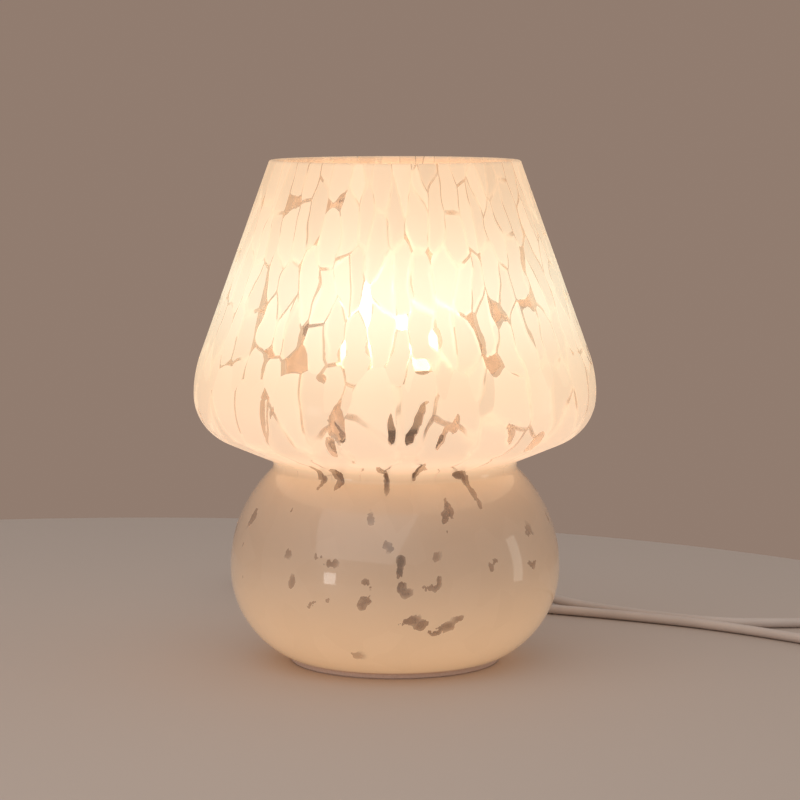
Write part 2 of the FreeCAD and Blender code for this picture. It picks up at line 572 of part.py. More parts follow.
def bent_path(body, name, points, bend):
    """An open line through points in the XZ plane, each bend an arc tangent to both of its lines."""
    sketch = sketch_on(body, name)
    corners = [Vector(number(across), number(up), 0) for across, up in points]
    ways = [(stop - start).normalize() for start, stop in zip(corners, corners[1:])]
    cuts = [0.0] + [number(bend) * math.tan(a.getAngle(b) / 2) for a, b in zip(ways, ways[1:])] + [0.0]
    lines = []
    for index, way in enumerate(ways):
        start = corners[index] + way * cuts[index]
        stop = corners[index + 1] - way * cuts[index + 1]
        lines.append(sketch.addGeometry(Part.LineSegment(start, stop), False))
    pin_down(sketch, lines[0], 1, *points[0])
    pin_down(sketch, lines[-1], 2, *points[-1])
    for index in range(1, len(ways)):
        before, after = ways[index - 1], ways[index]
        turn = 1 if before.cross(after).z > 0 else -1
        start, stop = corners[index] - before * cuts[index], corners[index] + after * cuts[index]
        arc = sketch.addGeometry(arc_between(start, stop, number(bend), turn), False)
        corner = sketch.addGeometry(Part.Point(corners[index]), True)
        pin_down(sketch, corner, 1, *points[index])
        near, far = (1, 2) if turn > 0 else (2, 1)
        for line, end, arc_end in ((lines[index - 1], 2, near), (lines[index], 1, far)):
            sketch.addConstraint(Sketcher.Constraint("Tangent", line, end, arc, arc_end))
            sketch.addConstraint(Sketcher.Constraint("PointOnObject", corner, 1, line))
        row = sketch.addConstraint(Sketcher.Constraint("Radius", arc, number(bend)))
        sketch.setExpression(f"Constraints[{row}]", bound(bend))
    doc.recompute()
    return sketch


def strip(body, name, points, start):
    """A flat strip along a bent path that begins level at the radius start."""
    path = bent_path(body, name + "_path", points, "clip_bend")
    section = sketch_on(body, name + "_section", "YZ_Plane", start)
    rectangle(section, "0 - arm_width / 2", "clip_under_z", "arm_width / 2", "clip_over_z")
    doc.recompute()
    pipe = body.newObject("PartDesign::AdditivePipe", name)
    pipe.Profile = section
    pipe.Spine = (path, [f"Edge{index + 1}" for index in range(len(path.Shape.Edges))])
    doc.recompute()
    return pipe


LEG = [
    ("clip_ring_radius - arm_lap", "clip_height"),
    ("leg_bend_radius", "clip_height"),
    ("leg_knee_r", "neck_z"),
    ("leg_tip_r", "leg_tip_z"),
]
REST = [
    ("clip_ring_radius - arm_lap", "clip_height"),
    ("rest_bend_r", "clip_height"),
    ("rest_line_r + rest_length * slope_cos", "rest_line_z + rest_length * slope_sin"),
]


def make_clip():
    """One stamped piece of spring steel: a flat ring, legs that spring out under the neck, and rests."""
    clip = doc.addObject("Part::MultiFuse", "neck_clip")
    clip.Shapes = [
        ring_with_arms("clip_legs", LEG, "leg_turn * 1 deg"),
        ring_with_arms("clip_rests", REST, "leg_turn * 1 deg + 180 deg / arm_count"),
    ]
    clip.Refine = True
    doc.recompute()
    return keep(clip, "neck_clip")


def ring_with_arms(name, line, turn):
    body = new_body(name)
    ring = sketch_on(body, name + "_ring_outline", "XY_Plane", "clip_under_z")
    circle(ring, "clip_ring_radius")
    circle(ring, "holder_radius + thread_gap * 2")
    pad(body, name + "_ring", ring, "clip_thickness")
    arm = strip(body, name + "_arm", line, line[0][0])
    round_the_axis(body, name + "_round", [arm], "arm_count")
    return stand(body, axis=Vector(0, 0, 1), angle=turn)


def sleeve_set(label, glass, tip, along, angle):
    """Soft sleeves on the clip's strips, cut by the glass so that each seats on it all over."""
    across = (f"0 - ({along[1]})", along[0])

    def place(distance, offset):
        return tuple(f"{tip[k]} + ({distance}) * ({along[k]}) + ({offset}) * ({across[k]})" for k in (0, 1))

    half = "clip_thickness / 2"
    blank = new_body(label + "_blank")
    blank.AllowCompound = True
    outer = sketch_on(blank, label + "_outer")
    thick = f"{half} + sleeve_wall"
    outline(outer, [
        place("0 - sleeve_length", f"0 - ({thick})"),
        place("sleeve_wall", f"0 - ({thick})"),
        place("sleeve_wall", thick),
        place("0 - sleeve_length", thick),
    ])
    solid = pad(blank, label + "_pad", outer, "arm_width + 2 * sleeve_wall", both_ways=True)
    round_the_axis(blank, label + "_round", [solid], "arm_count")
    stand(blank, axis=Vector(0, 0, 1), angle=angle)
    clip = doc.getObject("neck_clip")
    off_glass = doc.addObject("Part::Cut", label + "_off_glass")
    off_glass.Base = blank
    off_glass.Tool = glass
    sleeves = doc.addObject("Part::Cut", label)
    sleeves.Base = off_glass
    sleeves.Tool = clip
    doc.recompute()
    keep(sleeves, label)


# --- the lamp holder ----------------------------------------------------------------------------------


def make_clamp_ring(label, face_z, way):
    """A threaded plastic ring with a notched flange against the clip. way is +1 above it, -1 below."""
    body = new_body(label)
    bore = "holder_radius + thread_gap"
    sign = "+" if way > 0 else "-"
    points = [
        (bore, face_z),
        ("ring_radius", face_z),
        ("ring_radius", f"{face_z} {sign} ring_height * 0.45"),
        ("ring_radius - ring_step", f"{face_z} {sign} ring_height * 0.45"),
        ("ring_radius - ring_step * 1.2", f"{face_z} {sign} ring_height"),
        (bore, f"{face_z} {sign} ring_height"),
    ]
    revolve(body, label + "_ring", points)
    notch = sketch_on(body, label + "_notch_circle", "XY_Plane", face_z)
    circle(notch, "notch_radius", "ring_radius + notch_radius * 0.4")
    cut = pocket(body, label + "_notch", notch, "ring_height", towards_normal=way > 0)
    round_the_axis(body, label + "_notches", [cut], "ring_notches")
    keep(body, label)


def make_holder():
    """The screw lamp holder: shell, domed cap, nipple with its nut and bush, and the contacts inside."""
    make_clamp_ring("lower_clamp_ring", "clip_under_z", -1)
    make_clamp_ring("upper_clamp_ring", "clip_over_z", 1)
    inside = "holder_radius - holder_wall"
    turned_part("holder_shell", [
        (inside, "shell_base_z"),
        ("holder_radius", "shell_base_z"),
        ("holder_radius", "mouth_z"),
        (inside, "mouth_z"),
    ], edges=[("Chamfer", "holder_wall * 0.35", [("holder_radius", "mouth_z"), (inside, "mouth_z")])])
    ledge = "holder_radius - holder_wall - block_ledge"
    dome = "(holder_radius - cap_boss_radius)"
    turned_part("holder_cap", [
        (inside, "shell_base_z"),
        (inside, "block_base_z"),
        (ledge, "block_base_z"),
        ("cap_boss_radius + holder_wall * 0.5", "cap_base_z + holder_wall * 1.6"),
        ("nipple_radius + thread_gap", "cap_base_z + holder_wall * 1.6"),
        ("nipple_radius + thread_gap", "boss_base_z"),
        ("cap_boss_radius", "boss_base_z"),
        ("cap_boss_radius", "cap_base_z"),
        ("holder_radius", "block_base_z - holder_wall * 0.6"),
        ("holder_radius", "shell_base_z"),
    ], {2: (dome + " * 1.3", -1), 7: (dome + " * 1.3", 1)})
    turned_part("threaded_nipple", [
        ("nipple_bore", "nipple_base_z"),
        ("nipple_radius", "nipple_base_z"),
        ("nipple_radius", "nipple_base_z + nipple_length"),
        ("nipple_bore", "nipple_base_z + nipple_length"),
    ])
    make_lock_nut()
    wire_way = "wire_spacing / 2 + wire_diameter / 2 + cord_gap * 2"
    turned_part("wire_bush", [
        (wire_way, "nipple_base_z - bush_flange"),
        ("nipple_radius + bush_flange", "nipple_base_z - bush_flange"),
        ("nipple_radius + bush_flange", "nipple_base_z"),
        ("nipple_bore - thread_gap", "nipple_base_z"),
        ("nipple_bore - thread_gap", "nipple_base_z + bush_length"),
        (wire_way, "nipple_base_z + bush_length"),
    ])
    make_contacts()


def make_lock_nut():
    body = new_body("lock_nut")
    hexagon = sketch_on(body, "nut_hexagon", "XY_Plane", "boss_base_z - nut_thickness")
    corner = "nut_width / sqrt(3)"
    outline(hexagon, [(f"{corner} * cos({60 * k} deg)", f"{corner} * sin({60 * k} deg)") for k in range(6)])
    circle(hexagon, "nipple_radius + thread_gap")
    pad(body, "nut_solid", hexagon, "nut_thickness")
    keep(body, "lock_nut")


def make_contacts():
    """The ceramic block on the cap's ledge, the brass screw shell on its hub and the centre contact."""
    block = new_body("contact_block")
    revolve(block, "block_turned", [
        ("0", "block_base_z"),
        ("block_radius", "block_base_z"),
        ("block_radius", "block_top_z"),
        ("block_hub_radius", "block_top_z"),
        ("block_hub_radius", "hub_top_z"),
        ("contact_well_radius", "hub_top_z"),
        ("contact_well_radius", "well_z"),
        ("0", "well_z"),
    ])
    keep(block, "contact_block")
    inner, seat = "screw_shell_radius - screw_shell_wall", "contact_well_radius + screw_shell_seat"
    turned_part("screw_shell", [
        (seat, "hub_top_z"),
        ("screw_shell_radius", "hub_top_z"),
        ("screw_shell_radius", "hub_top_z + screw_shell_height"),
        (inner, "hub_top_z + screw_shell_height"),
        (inner, "hub_top_z + screw_shell_wall"),
        (seat, "hub_top_z + screw_shell_wall"),
    ])
    leaf = new_body("centre_contact")
    half, inside = "leaf_span / 2", "(leaf_span / 2 - leaf_thickness)"
    arch = outline(sketch_on(leaf, "leaf_outline"), [
        (f"0 - {half}", "well_z"), (half, "well_z"), (inside, "well_z"), (f"0 - {inside}", "well_z"),
    ], {0: ("leaf_arc", -1), 2: ("leaf_inside", 1)})
    pad(leaf, "leaf_arch", arch, "leaf_width", both_ways=True)
    keep(leaf, "centre_contact")
    screws = new_body("terminal_screws")
    screws.AllowCompound = True
    heads = sketch_on(screws, "terminal_circles", "XY_Plane", "block_base_z - terminal_height")
    slots = sketch_on(screws, "terminal_slots", "XY_Plane", "block_base_z - terminal_height")
    for side in ("0 - ", ""):
        circle(heads, "terminal_radius", f"{side}terminal_spacing / 2")
    pad(screws, "terminal_heads", heads, "terminal_height")
    rectangle(slots, "0 - terminal_spacing", "wire_diameter / 2 + 0.3", "terminal_spacing",
              "wire_diameter / 2 + 0.3 + screw_slot_width")
    pocket(screws, "terminal_slot_cut", slots, "terminal_height / 3", towards_normal=True)
    keep(screws, "terminal_screws")


# --- the bulb -----------------------------------------------------------------------------------------


def make_bulb():
    """A screw bulb: contact, insulator and cap, a flared housing, the light sources and a round diffuser."""
    button_top = "bulb_seat_z + bulb_button_height"
    turned_part("bulb_contact", [
        ("0", "bulb_seat_z"), ("bulb_button_radius", "bulb_seat_z"),
        ("bulb_button_radius", button_top), ("0", button_top),
    ], edges=[("Chamfer", "bulb_button_height / 3", [("bulb_button_radius", "bulb_seat_z")])])
    foot = "bulb_cap_radius - bulb_cap_taper"
    turned_part("bulb_insulator", [
        ("0", button_top), ("bulb_button_radius", button_top),
        (foot, "bulb_cap_foot_z"), ("0", "bulb_cap_foot_z"),
    ])
    inner, hole = "bulb_cap_radius - bulb_cap_wall", f"{foot} - bulb_cap_taper"
    turned_part("bulb_cap", [
        (hole, "bulb_cap_foot_z"),
        (foot, "bulb_cap_foot_z"),
        ("bulb_cap_radius", "bulb_cap_foot_z + bulb_cap_bevel"),
        ("bulb_cap_radius", "bulb_cap_top_z"),
        (inner, "bulb_cap_top_z"),
        (inner, "bulb_cap_foot_z + bulb_cap_bevel + bulb_cap_wall / 4"),
        (hole, "bulb_cap_foot_z + bulb_cap_wall"),
    ])
    spigot, collar = f"{inner} - thread_gap", "bulb_cap_radius + bulb_cap_taper"
    board_z = "globe_foot_z - led_board_thickness"
    turned_part("bulb_housing", [
        (f"{spigot} - housing_wall", "bulb_cap_foot_z + housing_spigot"),
        (spigot, "bulb_cap_foot_z + housing_spigot"),
        (spigot, "bulb_cap_top_z"),
        (collar, "bulb_cap_top_z"),
        (collar, "bulb_cap_top_z + bulb_cap_taper"),
        ("globe_foot_r", "globe_foot_z"),
        ("globe_foot_r - housing_wall", "globe_foot_z"),
        ("globe_foot_r - housing_wall", board_z),
        ("globe_foot_r - housing_wall * 2", board_z),
        (f"{spigot} - housing_wall", "bulb_cap_top_z"),
    ], {4: ("bulb_radius * 3", -1), 8: ("bulb_radius * 3.2", 1)})
    turned_part("led_board", [
        ("0", board_z), ("globe_foot_r - housing_wall - thread_gap", board_z),
        ("globe_foot_r - housing_wall - thread_gap", "globe_foot_z"), ("0", "globe_foot_z"),
    ])
    chips = new_body("led_chips")
    chips.AllowCompound = True
    half = "led_size / 2"
    square = sketch_on(chips, "led_square", "XY_Plane", "globe_foot_z")
    rectangle(square, f"led_circle_radius - {half}", f"0 - {half}", f"led_circle_radius + {half}", half)
    round_the_axis(chips, "led_ring", [pad(chips, "led_chip", square, "led_height")], "led_count")
    keep(chips, "led_chips")
    turned_part("bulb_globe", [
        ("globe_foot_r", "globe_foot_z"),
        ("0", "globe_arc_z + bulb_radius"),
        ("0", "globe_arc_z + bulb_radius - globe_wall"),
        ("sqrt((bulb_radius - globe_wall)^2 - (globe_arc_z - globe_foot_z)^2)", "globe_foot_z"),
    ], {0: ("bulb_radius", 1), 2: ("bulb_radius - globe_wall", -1)})


# --- the lead -----------------------------------------------------------------------------------------


def smooth_route(label, points):
    """Straight runs joined by tangent arcs, each as large as its two runs allow. Prints the radii."""
    edges, radii, start = [], [], points[0]
    for before, corner, after in zip(points, points[1:], points[2:]):
        way_in, way_out = (corner - before).normalize(), (after - corner).normalize()
        shorter = min((corner - before).Length, (after - corner).Length)
        half_turn = way_in.getAngle(way_out) / 2
        cut = RUN_SHARE * shorter
        radius = cut / math.tan(half_turn)
        first, last = corner - way_in * cut, corner + way_out * cut
        inward = (way_out - way_in).normalize()
        middle = corner + inward * (radius / math.cos(half_turn) - radius)
        edges.append(Part.LineSegment(start, first).toShape())
        edges.append(Part.Arc(first, middle, last).toShape())
        radii.append(radius)
        start = last
    edges.append(Part.LineSegment(start, points[-1]).toShape())
    if radii:
        print(label, "radii", [round(radius, 1) for radius in radii])
    return Part.Wire(edges)


def tube(label, route, diameter):
    """A round tube along a route, square at both ends, checked against section times length."""
    start = route.Edges[0].valueAt(route.Edges[0].FirstParameter)
    heading = route.Edges[0].tangentAt(route.Edges[0].FirstParameter)
    section = Part.Wire(Part.Circle(start, heading, diameter / 2).toShape())
    shell = Part.BRepOffsetAPI.MakePipeShell(route)
    shell.add(section)
    shell.build()
    shell.makeSolid()
    solid = shell.shape()
    expected = math.pi * diameter**2 / 4 * route.Length
    if abs(abs(solid.Volume) / expected - 1) > 0.01:
        raise ValueError(f"{label} has volume {solid.Volume}, not {expected}")
    print(label, "length", round(route.Length, 1))
    return solid


def keep_shape(label, shape):
    feature = doc.addObject("Part::Feature", label)
    feature.Shape = shape
    return keep(feature, label)


def outlet_point(distance):
    """A point on the axis of the lead's hole, a distance outside the glass."""
    slope = math.radians(number("outlet_slope"))
    return Vector(0, number("outlet_y") + distance * math.cos(slope),
                  number("outlet_height") - distance * math.sin(slope))


def make_inner_lead():
    """The lead's end held in the grommet, and its two wires up through the nipple to the terminals."""
    inner_end = outlet_point(-number("glass_wall + grommet_flange + lead_inside"))
    nose_end = outlet_point(number("grommet_flange + grommet_nose"))
    held = Part.Wire(Part.LineSegment(inner_end, nose_end).toShape())
    keep_shape("lead_entry", tube("lead_entry", held, number("cord_diameter")))
    beside, apart = number("wire_spacing / 2"), number("terminal_spacing / 2")
    spread_z = number("nipple_base_z + nipple_length")
    top = number("block_base_z - terminal_height - wire_end")
    heading = (inner_end - nose_end).normalize()
    wires = []
    for side in (-1, 1):
        shift = Vector(side * beside, 0, 0)
        points = [inner_end + shift, inner_end + heading * number("wire_rise") + shift]
        points += [Vector(side * beside, y, z) for y, z in WIRE_BENDS]
        points += [Vector(side * beside, 0, spread_z), Vector(side * apart, 0, top)]
        wires.append(tube("inner_wires", smooth_route("inner_wires", points), number("wire_diameter")))
    keep_shape("inner_wires", Part.makeCompound(wires))


def coil_place(turn):
    """The coil's middle line and heading after a number of turns, clockwise from its left side: it
    winds in at a steady pitch, climbs a layer in the half turn where it reverses, and winds out."""
    pitch, turns = number("coil_pitch"), number("coil_turns")
    from_middle = turn - turns / 2
    if abs(from_middle) < 0.25:
        inwards, slope = turns / 2 - 0.125 - 2 * from_middle**2, -4 * from_middle
        share = (from_middle + 0.25) * 2
    else:
        inwards, slope = min(turn, turns - turn), -math.copysign(1, from_middle)
        share = 0.0 if from_middle < 0 else 1.0
    radius, radius_rate = number("coil_outer_radius") - pitch * inwards, -pitch * slope
    height = number("coil_low_z") + pitch * share**2 * (3 - 2 * share)
    height_rate = pitch * 12 * share * (1 - share)
    angle = math.pi - math.tau * turn
    out, round_it = Vector(math.cos(angle), math.sin(angle), 0), Vector(math.sin(angle), -math.cos(angle), 0)
    place = Vector(number("coil_x"), number("coil_y"), height) + out * radius
    heading = out * radius_rate + round_it * (math.tau * radius) + Vector(0, 0, height_rate)
    return place, heading.normalize()


def two_arcs(start, way_out, stop, way_in):
    """A pair of arcs that leaves start along one heading and reaches stop along another."""
    gap, ways = stop - start, way_out + way_in
    a = 2 * (1 - way_out.dot(way_in))
    b = 2 * gap.dot(ways)
    c = -gap.dot(gap)
    reach = -c / b if abs(a) < 1e-9 else (-b + math.sqrt(b * b - 4 * a * c)) / (2 * a)
    meet = (start + way_out * reach + stop - way_in * reach) * 0.5
    arcs = []
    between = (stop - start - ways * reach).normalize()
    for first, heading, last in ((start, way_out, meet), (meet, between, stop)):
        chord = last - first
        normal = (chord - heading * chord.dot(heading)).normalize()
        radius = chord.dot(chord) / (2 * chord.dot(normal))
        middle_way = ((first + last) * 0.5 - (first + normal * radius)).normalize()
        arcs.append(Part.Arc(first, first + normal * radius + middle_way * radius, last).toShape())
    return arcs


def make_coil():
    """One unbroken tube of flat turns in two layers, with a straight diameter at each end."""
    turns, straight = number("coil_turns"), number("cord_diameter") * 1.1
    steps = round(turns * 4)
    places = [coil_place(step * turns / steps) for step in range(steps + 1)]
    first, last = places[0], places[-1]
    start, stop = first[0] - first[1] * straight, last[0] + last[1] * straight
    edges = [Part.LineSegment(start, first[0]).toShape()]
    for (near, way_out), (far, way_in) in zip(places, places[1:]):
        edges += two_arcs(near, way_out, far, way_in)
    edges.append(Part.LineSegment(last[0], stop).toShape())
    keep_shape("lead_coil", tube("lead_coil", Part.Wire(edges), number("cord_diameter")))
    print("lead_coil least self gap", round(self_gap(turns), 2))
    return (start, first[1]), (stop, last[1])


def self_gap(turns):
    """The least clear distance between two turns of the coil, on points along it."""
    per_turn = 48
    places = [coil_place(step / per_turn)[0] for step in range(int(turns * per_turn) + 1)]
    nearest = min(
        (places[late] - place).Length
        for early, place in enumerate(places)
        for late in range(early + per_turn // 2, len(places))
    )
    return nearest - number("cord_diameter")


def make_free_lead():
    """The free lead: from the grommet to the switch, and from the switch by way of the coil to the plug."""
    low = number("lead_z")
    nose_end = outlet_point(number("grommet_flange + grommet_nose"))
    drop = (nose_end.z - low) / math.sin(math.radians(number("outlet_slope")))
    touchdown = outlet_point(number("grommet_flange + grommet_nose") + drop)
    switch_mid = Vector(number("switch_x"), number("switch_y"), number("switch_mid_z"))
    switch_reach = Vector(number("switch_length / 2 + relief_length - relief_grip"), 0, 0)
    route = [nose_end, touchdown] + [Vector(x, y, low) for x, y in LEAD_ON_TABLE]
    route += [Vector(*point) for point in LEAD_UP_TO_SWITCH] + [switch_mid + switch_reach]
    lead = tube("lead_to_switch", smooth_route("lead_to_switch", route), number("cord_diameter"))
    keep_shape("lead_to_switch", lead)
    (coil_start, way_in), (coil_end, way_out) = make_coil()
    route = [switch_mid - switch_reach] + [Vector(*point) for point in LEAD_DOWN_TO_COIL]
    route += [coil_start - way_in * number("coil_lead_in"), coil_start]
    lead = tube("lead_to_coil", smooth_route("lead_to_coil", route), number("cord_diameter"))
    keep_shape("lead_to_coil", lead)
    plug_tail = Vector(number("plug_tail_x"), number("coil_far_y"), number("plug_mid_z"))
    lead_out = number("coil_lead_out")
    route = [coil_end, coil_end + way_out * lead_out, plug_tail - Vector(lead_out, 0, 0), plug_tail]
    lead = tube("lead_to_plug", smooth_route("lead_to_plug", route), number("cord_diameter"))
    keep_shape("lead_to_plug", lead)


def make_coil_tie():
    """A strap round the coil's turns at the coil's right side."""
    body = new_body("coil_tie")
    near = "coil_x + coil_outer_radius - coil_pitch * 2.75 - cord_radius - tie_gap"
    far = "coil_x + coil_outer_radius - coil_pitch * 0.5 + cord_radius + tie_gap"
    low, high = "table_gap + tie_thickness", "coil_high_z + cord_radius + tie_gap"
    outside = sketch_on(body, "tie_outline")
    wall = "tie_thickness"
    rectangle(outside, f"{near} - {wall}", "table_gap", f"{far} + {wall}", f"{high} + {wall}")
    solid = pad(body, "tie_solid", outside, "tie_width", both_ways=True)
    names = [f"Edge{index}" for index, edge in enumerate(solid.Shape.Edges, start=1)
             if abs(edge.tangentAt(edge.FirstParameter).y) > 0.99]
    finish_edges(body, solid, "Fillet", "cord_radius", names)
    inside = sketch_on(body, "tie_window")
    rectangle(inside, near, low, far, high)
    pocket(body, "tie_opening", inside, "tie_width * 2", both_ways=True)
    stand(body, y="coil_y")
    keep(body, "coil_tie")


# --- the in-line switch ---------------------------------------------------------------------------------


def lying_sleeve(label, length, root, tip, x, y, z, way):
    """A tapered sleeve along X with two shallow grooves: root end at x, pointing along way (+1 or -1)."""
    body = new_body(label)
    profile = sketch_on(body, label + "_outline", "XY_Plane")
    sign = "" if way > 0 else "0 - "

    def at(share, radius):
        return (f"{sign}({length}) * {share}", radius)

    middle = f"({root} * 0.5 + {tip} * 0.5)"
    outline(profile, [
        at(0, "0"), at(0, root), at(0.3, root), at(0.5, middle), at(0.56, f"{middle} - 0.5"),
        at(0.62, f"{middle} - 0.1"), at(0.76, f"{tip} + 0.15"), at(0.82, f"{tip} - 0.3"), at(0.88, tip),
        at(1, tip), at(1, "0"),
    ])
    turned = body.newObject("PartDesign::Revolution", label + "_turned")
    turned.Profile = profile
    turned.ReferenceAxis = (profile, ["H_Axis"])
    turned.Angle = 360
    doc.recompute()
    stand(body, x, y, z)
    return keep(body, label)


def upright_edges(shape, reach):
    """The upright edges of a shape that lie further than reach from its middle."""
    return [
        f"Edge{index}" for index, edge in enumerate(shape.Edges, start=1)
        if abs(edge.tangentAt(edge.FirstParameter).z) > 0.99 and abs(edge.CenterOfMass.x) > reach
    ]


def level_edges(shape, height):
    """The edges of a shape that lie level at a height."""
    return [
        f"Edge{index}" for index, edge in enumerate(shape.Edges, start=1)
        if abs(edge.BoundBox.ZMin - height) < 1e-4 and abs(edge.BoundBox.ZMax - height) < 1e-4
    ]


def housing_half(label, low, high, outer_z, hollow_low, hollow_high):
    """Half of the switch housing: a block with round corners, one rounded face and a hollow."""
    body = new_body(label)
    block = sketch_on(body, label + "_block", "XY_Plane", low)
    rectangle(block, "0 - switch_length / 2", "0 - switch_width / 2", "switch_length / 2", "switch_width / 2")
    solid = pad(body, label + "_solid", block, f"{high} - ({low})")
    corners = finish_edges(body, solid, "Fillet", "switch_corner", upright_edges(solid.Shape, 1))
    finish_edges(body, corners, "Fillet", "switch_edge", level_edges(corners.Shape, number(outer_z)))
    room = sketch_on(body, label + "_room", "XY_Plane", hollow_low)
    rectangle(room, "switch_end - switch_length / 2", "switch_wall - switch_width / 2",
              "switch_length / 2 - switch_end", "switch_width / 2 - switch_wall")
    pocket(body, label + "_hollow", room, f"{hollow_high} - ({hollow_low})", towards_normal=True)
    return body


def make_switch():
    """The in-line rocker switch: two housing halves, the rocker on its axles, contacts and screws."""
    reach = "switch_length / 2 - relief_grip"
    sleeve = ("relief_length", "relief_root_radius", "relief_tip_radius")
    near, far, level = f"switch_x + {reach}", f"switch_x - ({reach})", "switch_mid_z"
    sleeves = [
        lying_sleeve("switch_sleeve_lamp_side", *sleeve, near, "switch_y", level, 1),
        lying_sleeve("switch_sleeve_plug_side", *sleeve, far, "switch_y", level, -1),
    ]
    grips = doc.addObject("Part::Compound", "switch_sleeves")
    grips.Links = sleeves
    half = "switch_height / 2"
    floor = f"switch_wall - {half}"
    lower = housing_half("switch_bottom_blank", f"0 - {half}", "0", f"0 - {half}", floor, "0")
    posts(lower, "switch_bottom", floor, "0", bored=True)
    upper = housing_half("switch_top_blank", "0", half, half, "0", f"{half} - switch_wall")
    posts(upper, "switch_top", "0", f"{half} - switch_wall", bored=False)
    window = sketch_on(upper, "rocker_window", "XY_Plane", f"{half} - switch_wall * 2")
    rectangle(window, "0 - rocker_length / 2 - rocker_gap", "0 - rocker_width / 2 - rocker_gap",
              "rocker_length / 2 + rocker_gap", "rocker_width / 2 + rocker_gap")
    pocket(upper, "rocker_window_cut", window, "switch_wall * 4", towards_normal=True)
    cheeks(upper)
    for blank, label in ((lower, "switch_bottom"), (upper, "switch_top")):
        stand(blank, "switch_x", "switch_y", "switch_mid_z")
        notched = doc.addObject("Part::Cut", label)
        notched.Base = blank
        notched.Tool = grips
        doc.recompute()
        keep(notched, label)
    make_rocker()
    make_switch_inside()


def at_posts(sketch, draw):
    """Draws one shape at each of the two screw posts, which stand in opposite corners."""
    for side in ("0 - ", ""):
        draw(sketch, side + "post_x", side + "post_offset")


def posts(body, name, low, high, bored):
    """The two screw posts of a housing half, bored right through or from the joint face."""
    solid = sketch_on(body, name + "_posts", "XY_Plane", low)
    at_posts(solid, lambda sketch, x, y: circle(sketch, "post_radius", x, y))
    pad(body, name + "_post_pair", solid, f"{high} - ({low})")
    holes = sketch_on(body, name + "_bores", "XY_Plane", "0")
    bore = "screw_radius + axle_gap" if bored else "screw_radius"
    at_posts(holes, lambda sketch, x, y: circle(sketch, bore, x, y))
    if not bored:
        pocket(body, name + "_post_bores", holes, "screw_bite * 1.5", towards_normal=True)
        return
    pocket(body, name + "_post_bores", holes, "switch_height")
    heads = sketch_on(body, name + "_head_recesses", "XY_Plane", "0 - switch_height / 2")
    at_posts(heads, lambda sketch, x, y: circle(sketch, "screw_head_radius + cord_gap * 2", x, y))
    pocket(body, name + "_head_bores", heads, "screw_head_height + screw_sunk", towards_normal=True)


def cheeks(upper):
    """Two bearing cheeks beside the rocker's window, with the axle holes through them."""
    plates = sketch_on(upper, "rocker_cheeks", "XY_Plane", "switch_height / 2 - switch_wall - cheek_depth")
    far, half = "(cheek_near + cheek_thickness)", "cheek_length / 2"
    for low, high in (("cheek_near", far), (f"0 - {far}", "0 - cheek_near")):
        rectangle(plates, f"0 - {half}", low, half, high)
    pad(upper, "rocker_cheek_pair", plates, "cheek_depth")
    axle = sketch_on(upper, "axle_circle")
    circle(axle, "rocker_axle_radius + axle_gap", "0", "rocker_axis_z - switch_mid_z")
    pocket(upper, "axle_holes", axle, "2 * cheek_near + cheek_thickness * 1.6", both_ways=True)


def make_rocker():
    """The rocker at rest on its ON side: two flats that meet in its middle, ends that lean in, two axles."""
    body = new_body("switch_rocker")
    half, rise = "rocker_length / 2", "(rocker_rise + switch_mid_z + switch_height / 2 - rocker_axis_z)"
    lift = "rocker_length / 2 * tan(rocker_tilt * 1 deg)"
    top = f"{half} - ({rise} + {lift}) * tan(rocker_tilt * 1 deg)"
    side = sketch_on(body, "rocker_side")
    outline(side, [
        (f"0 - {half}", "rocker_side"), ("0 - belly_length / 2", "0 - belly_drop"),
        ("belly_length / 2", "0 - belly_drop"), (half, "rocker_side"),
        (top, f"{rise} + {lift}"), ("0", rise), (f"0 - ({top})", f"{rise} + {lift}"),
    ], {1: ("belly_arc", 1)})
    pad(body, "rocker_solid", side, "rocker_width", both_ways=True)
    axle = sketch_on(body, "rocker_axle_circle")
    circle(axle, "rocker_axle_radius")
    pad(body, "rocker_axles", axle, "rocker_width + 2 * rocker_axle_length", both_ways=True)
    stand(body, "switch_x", "switch_y", "rocker_axis_z", Vector(0, 1, 0), "rocker_tilt * 1 deg")
    keep(body, "switch_rocker")


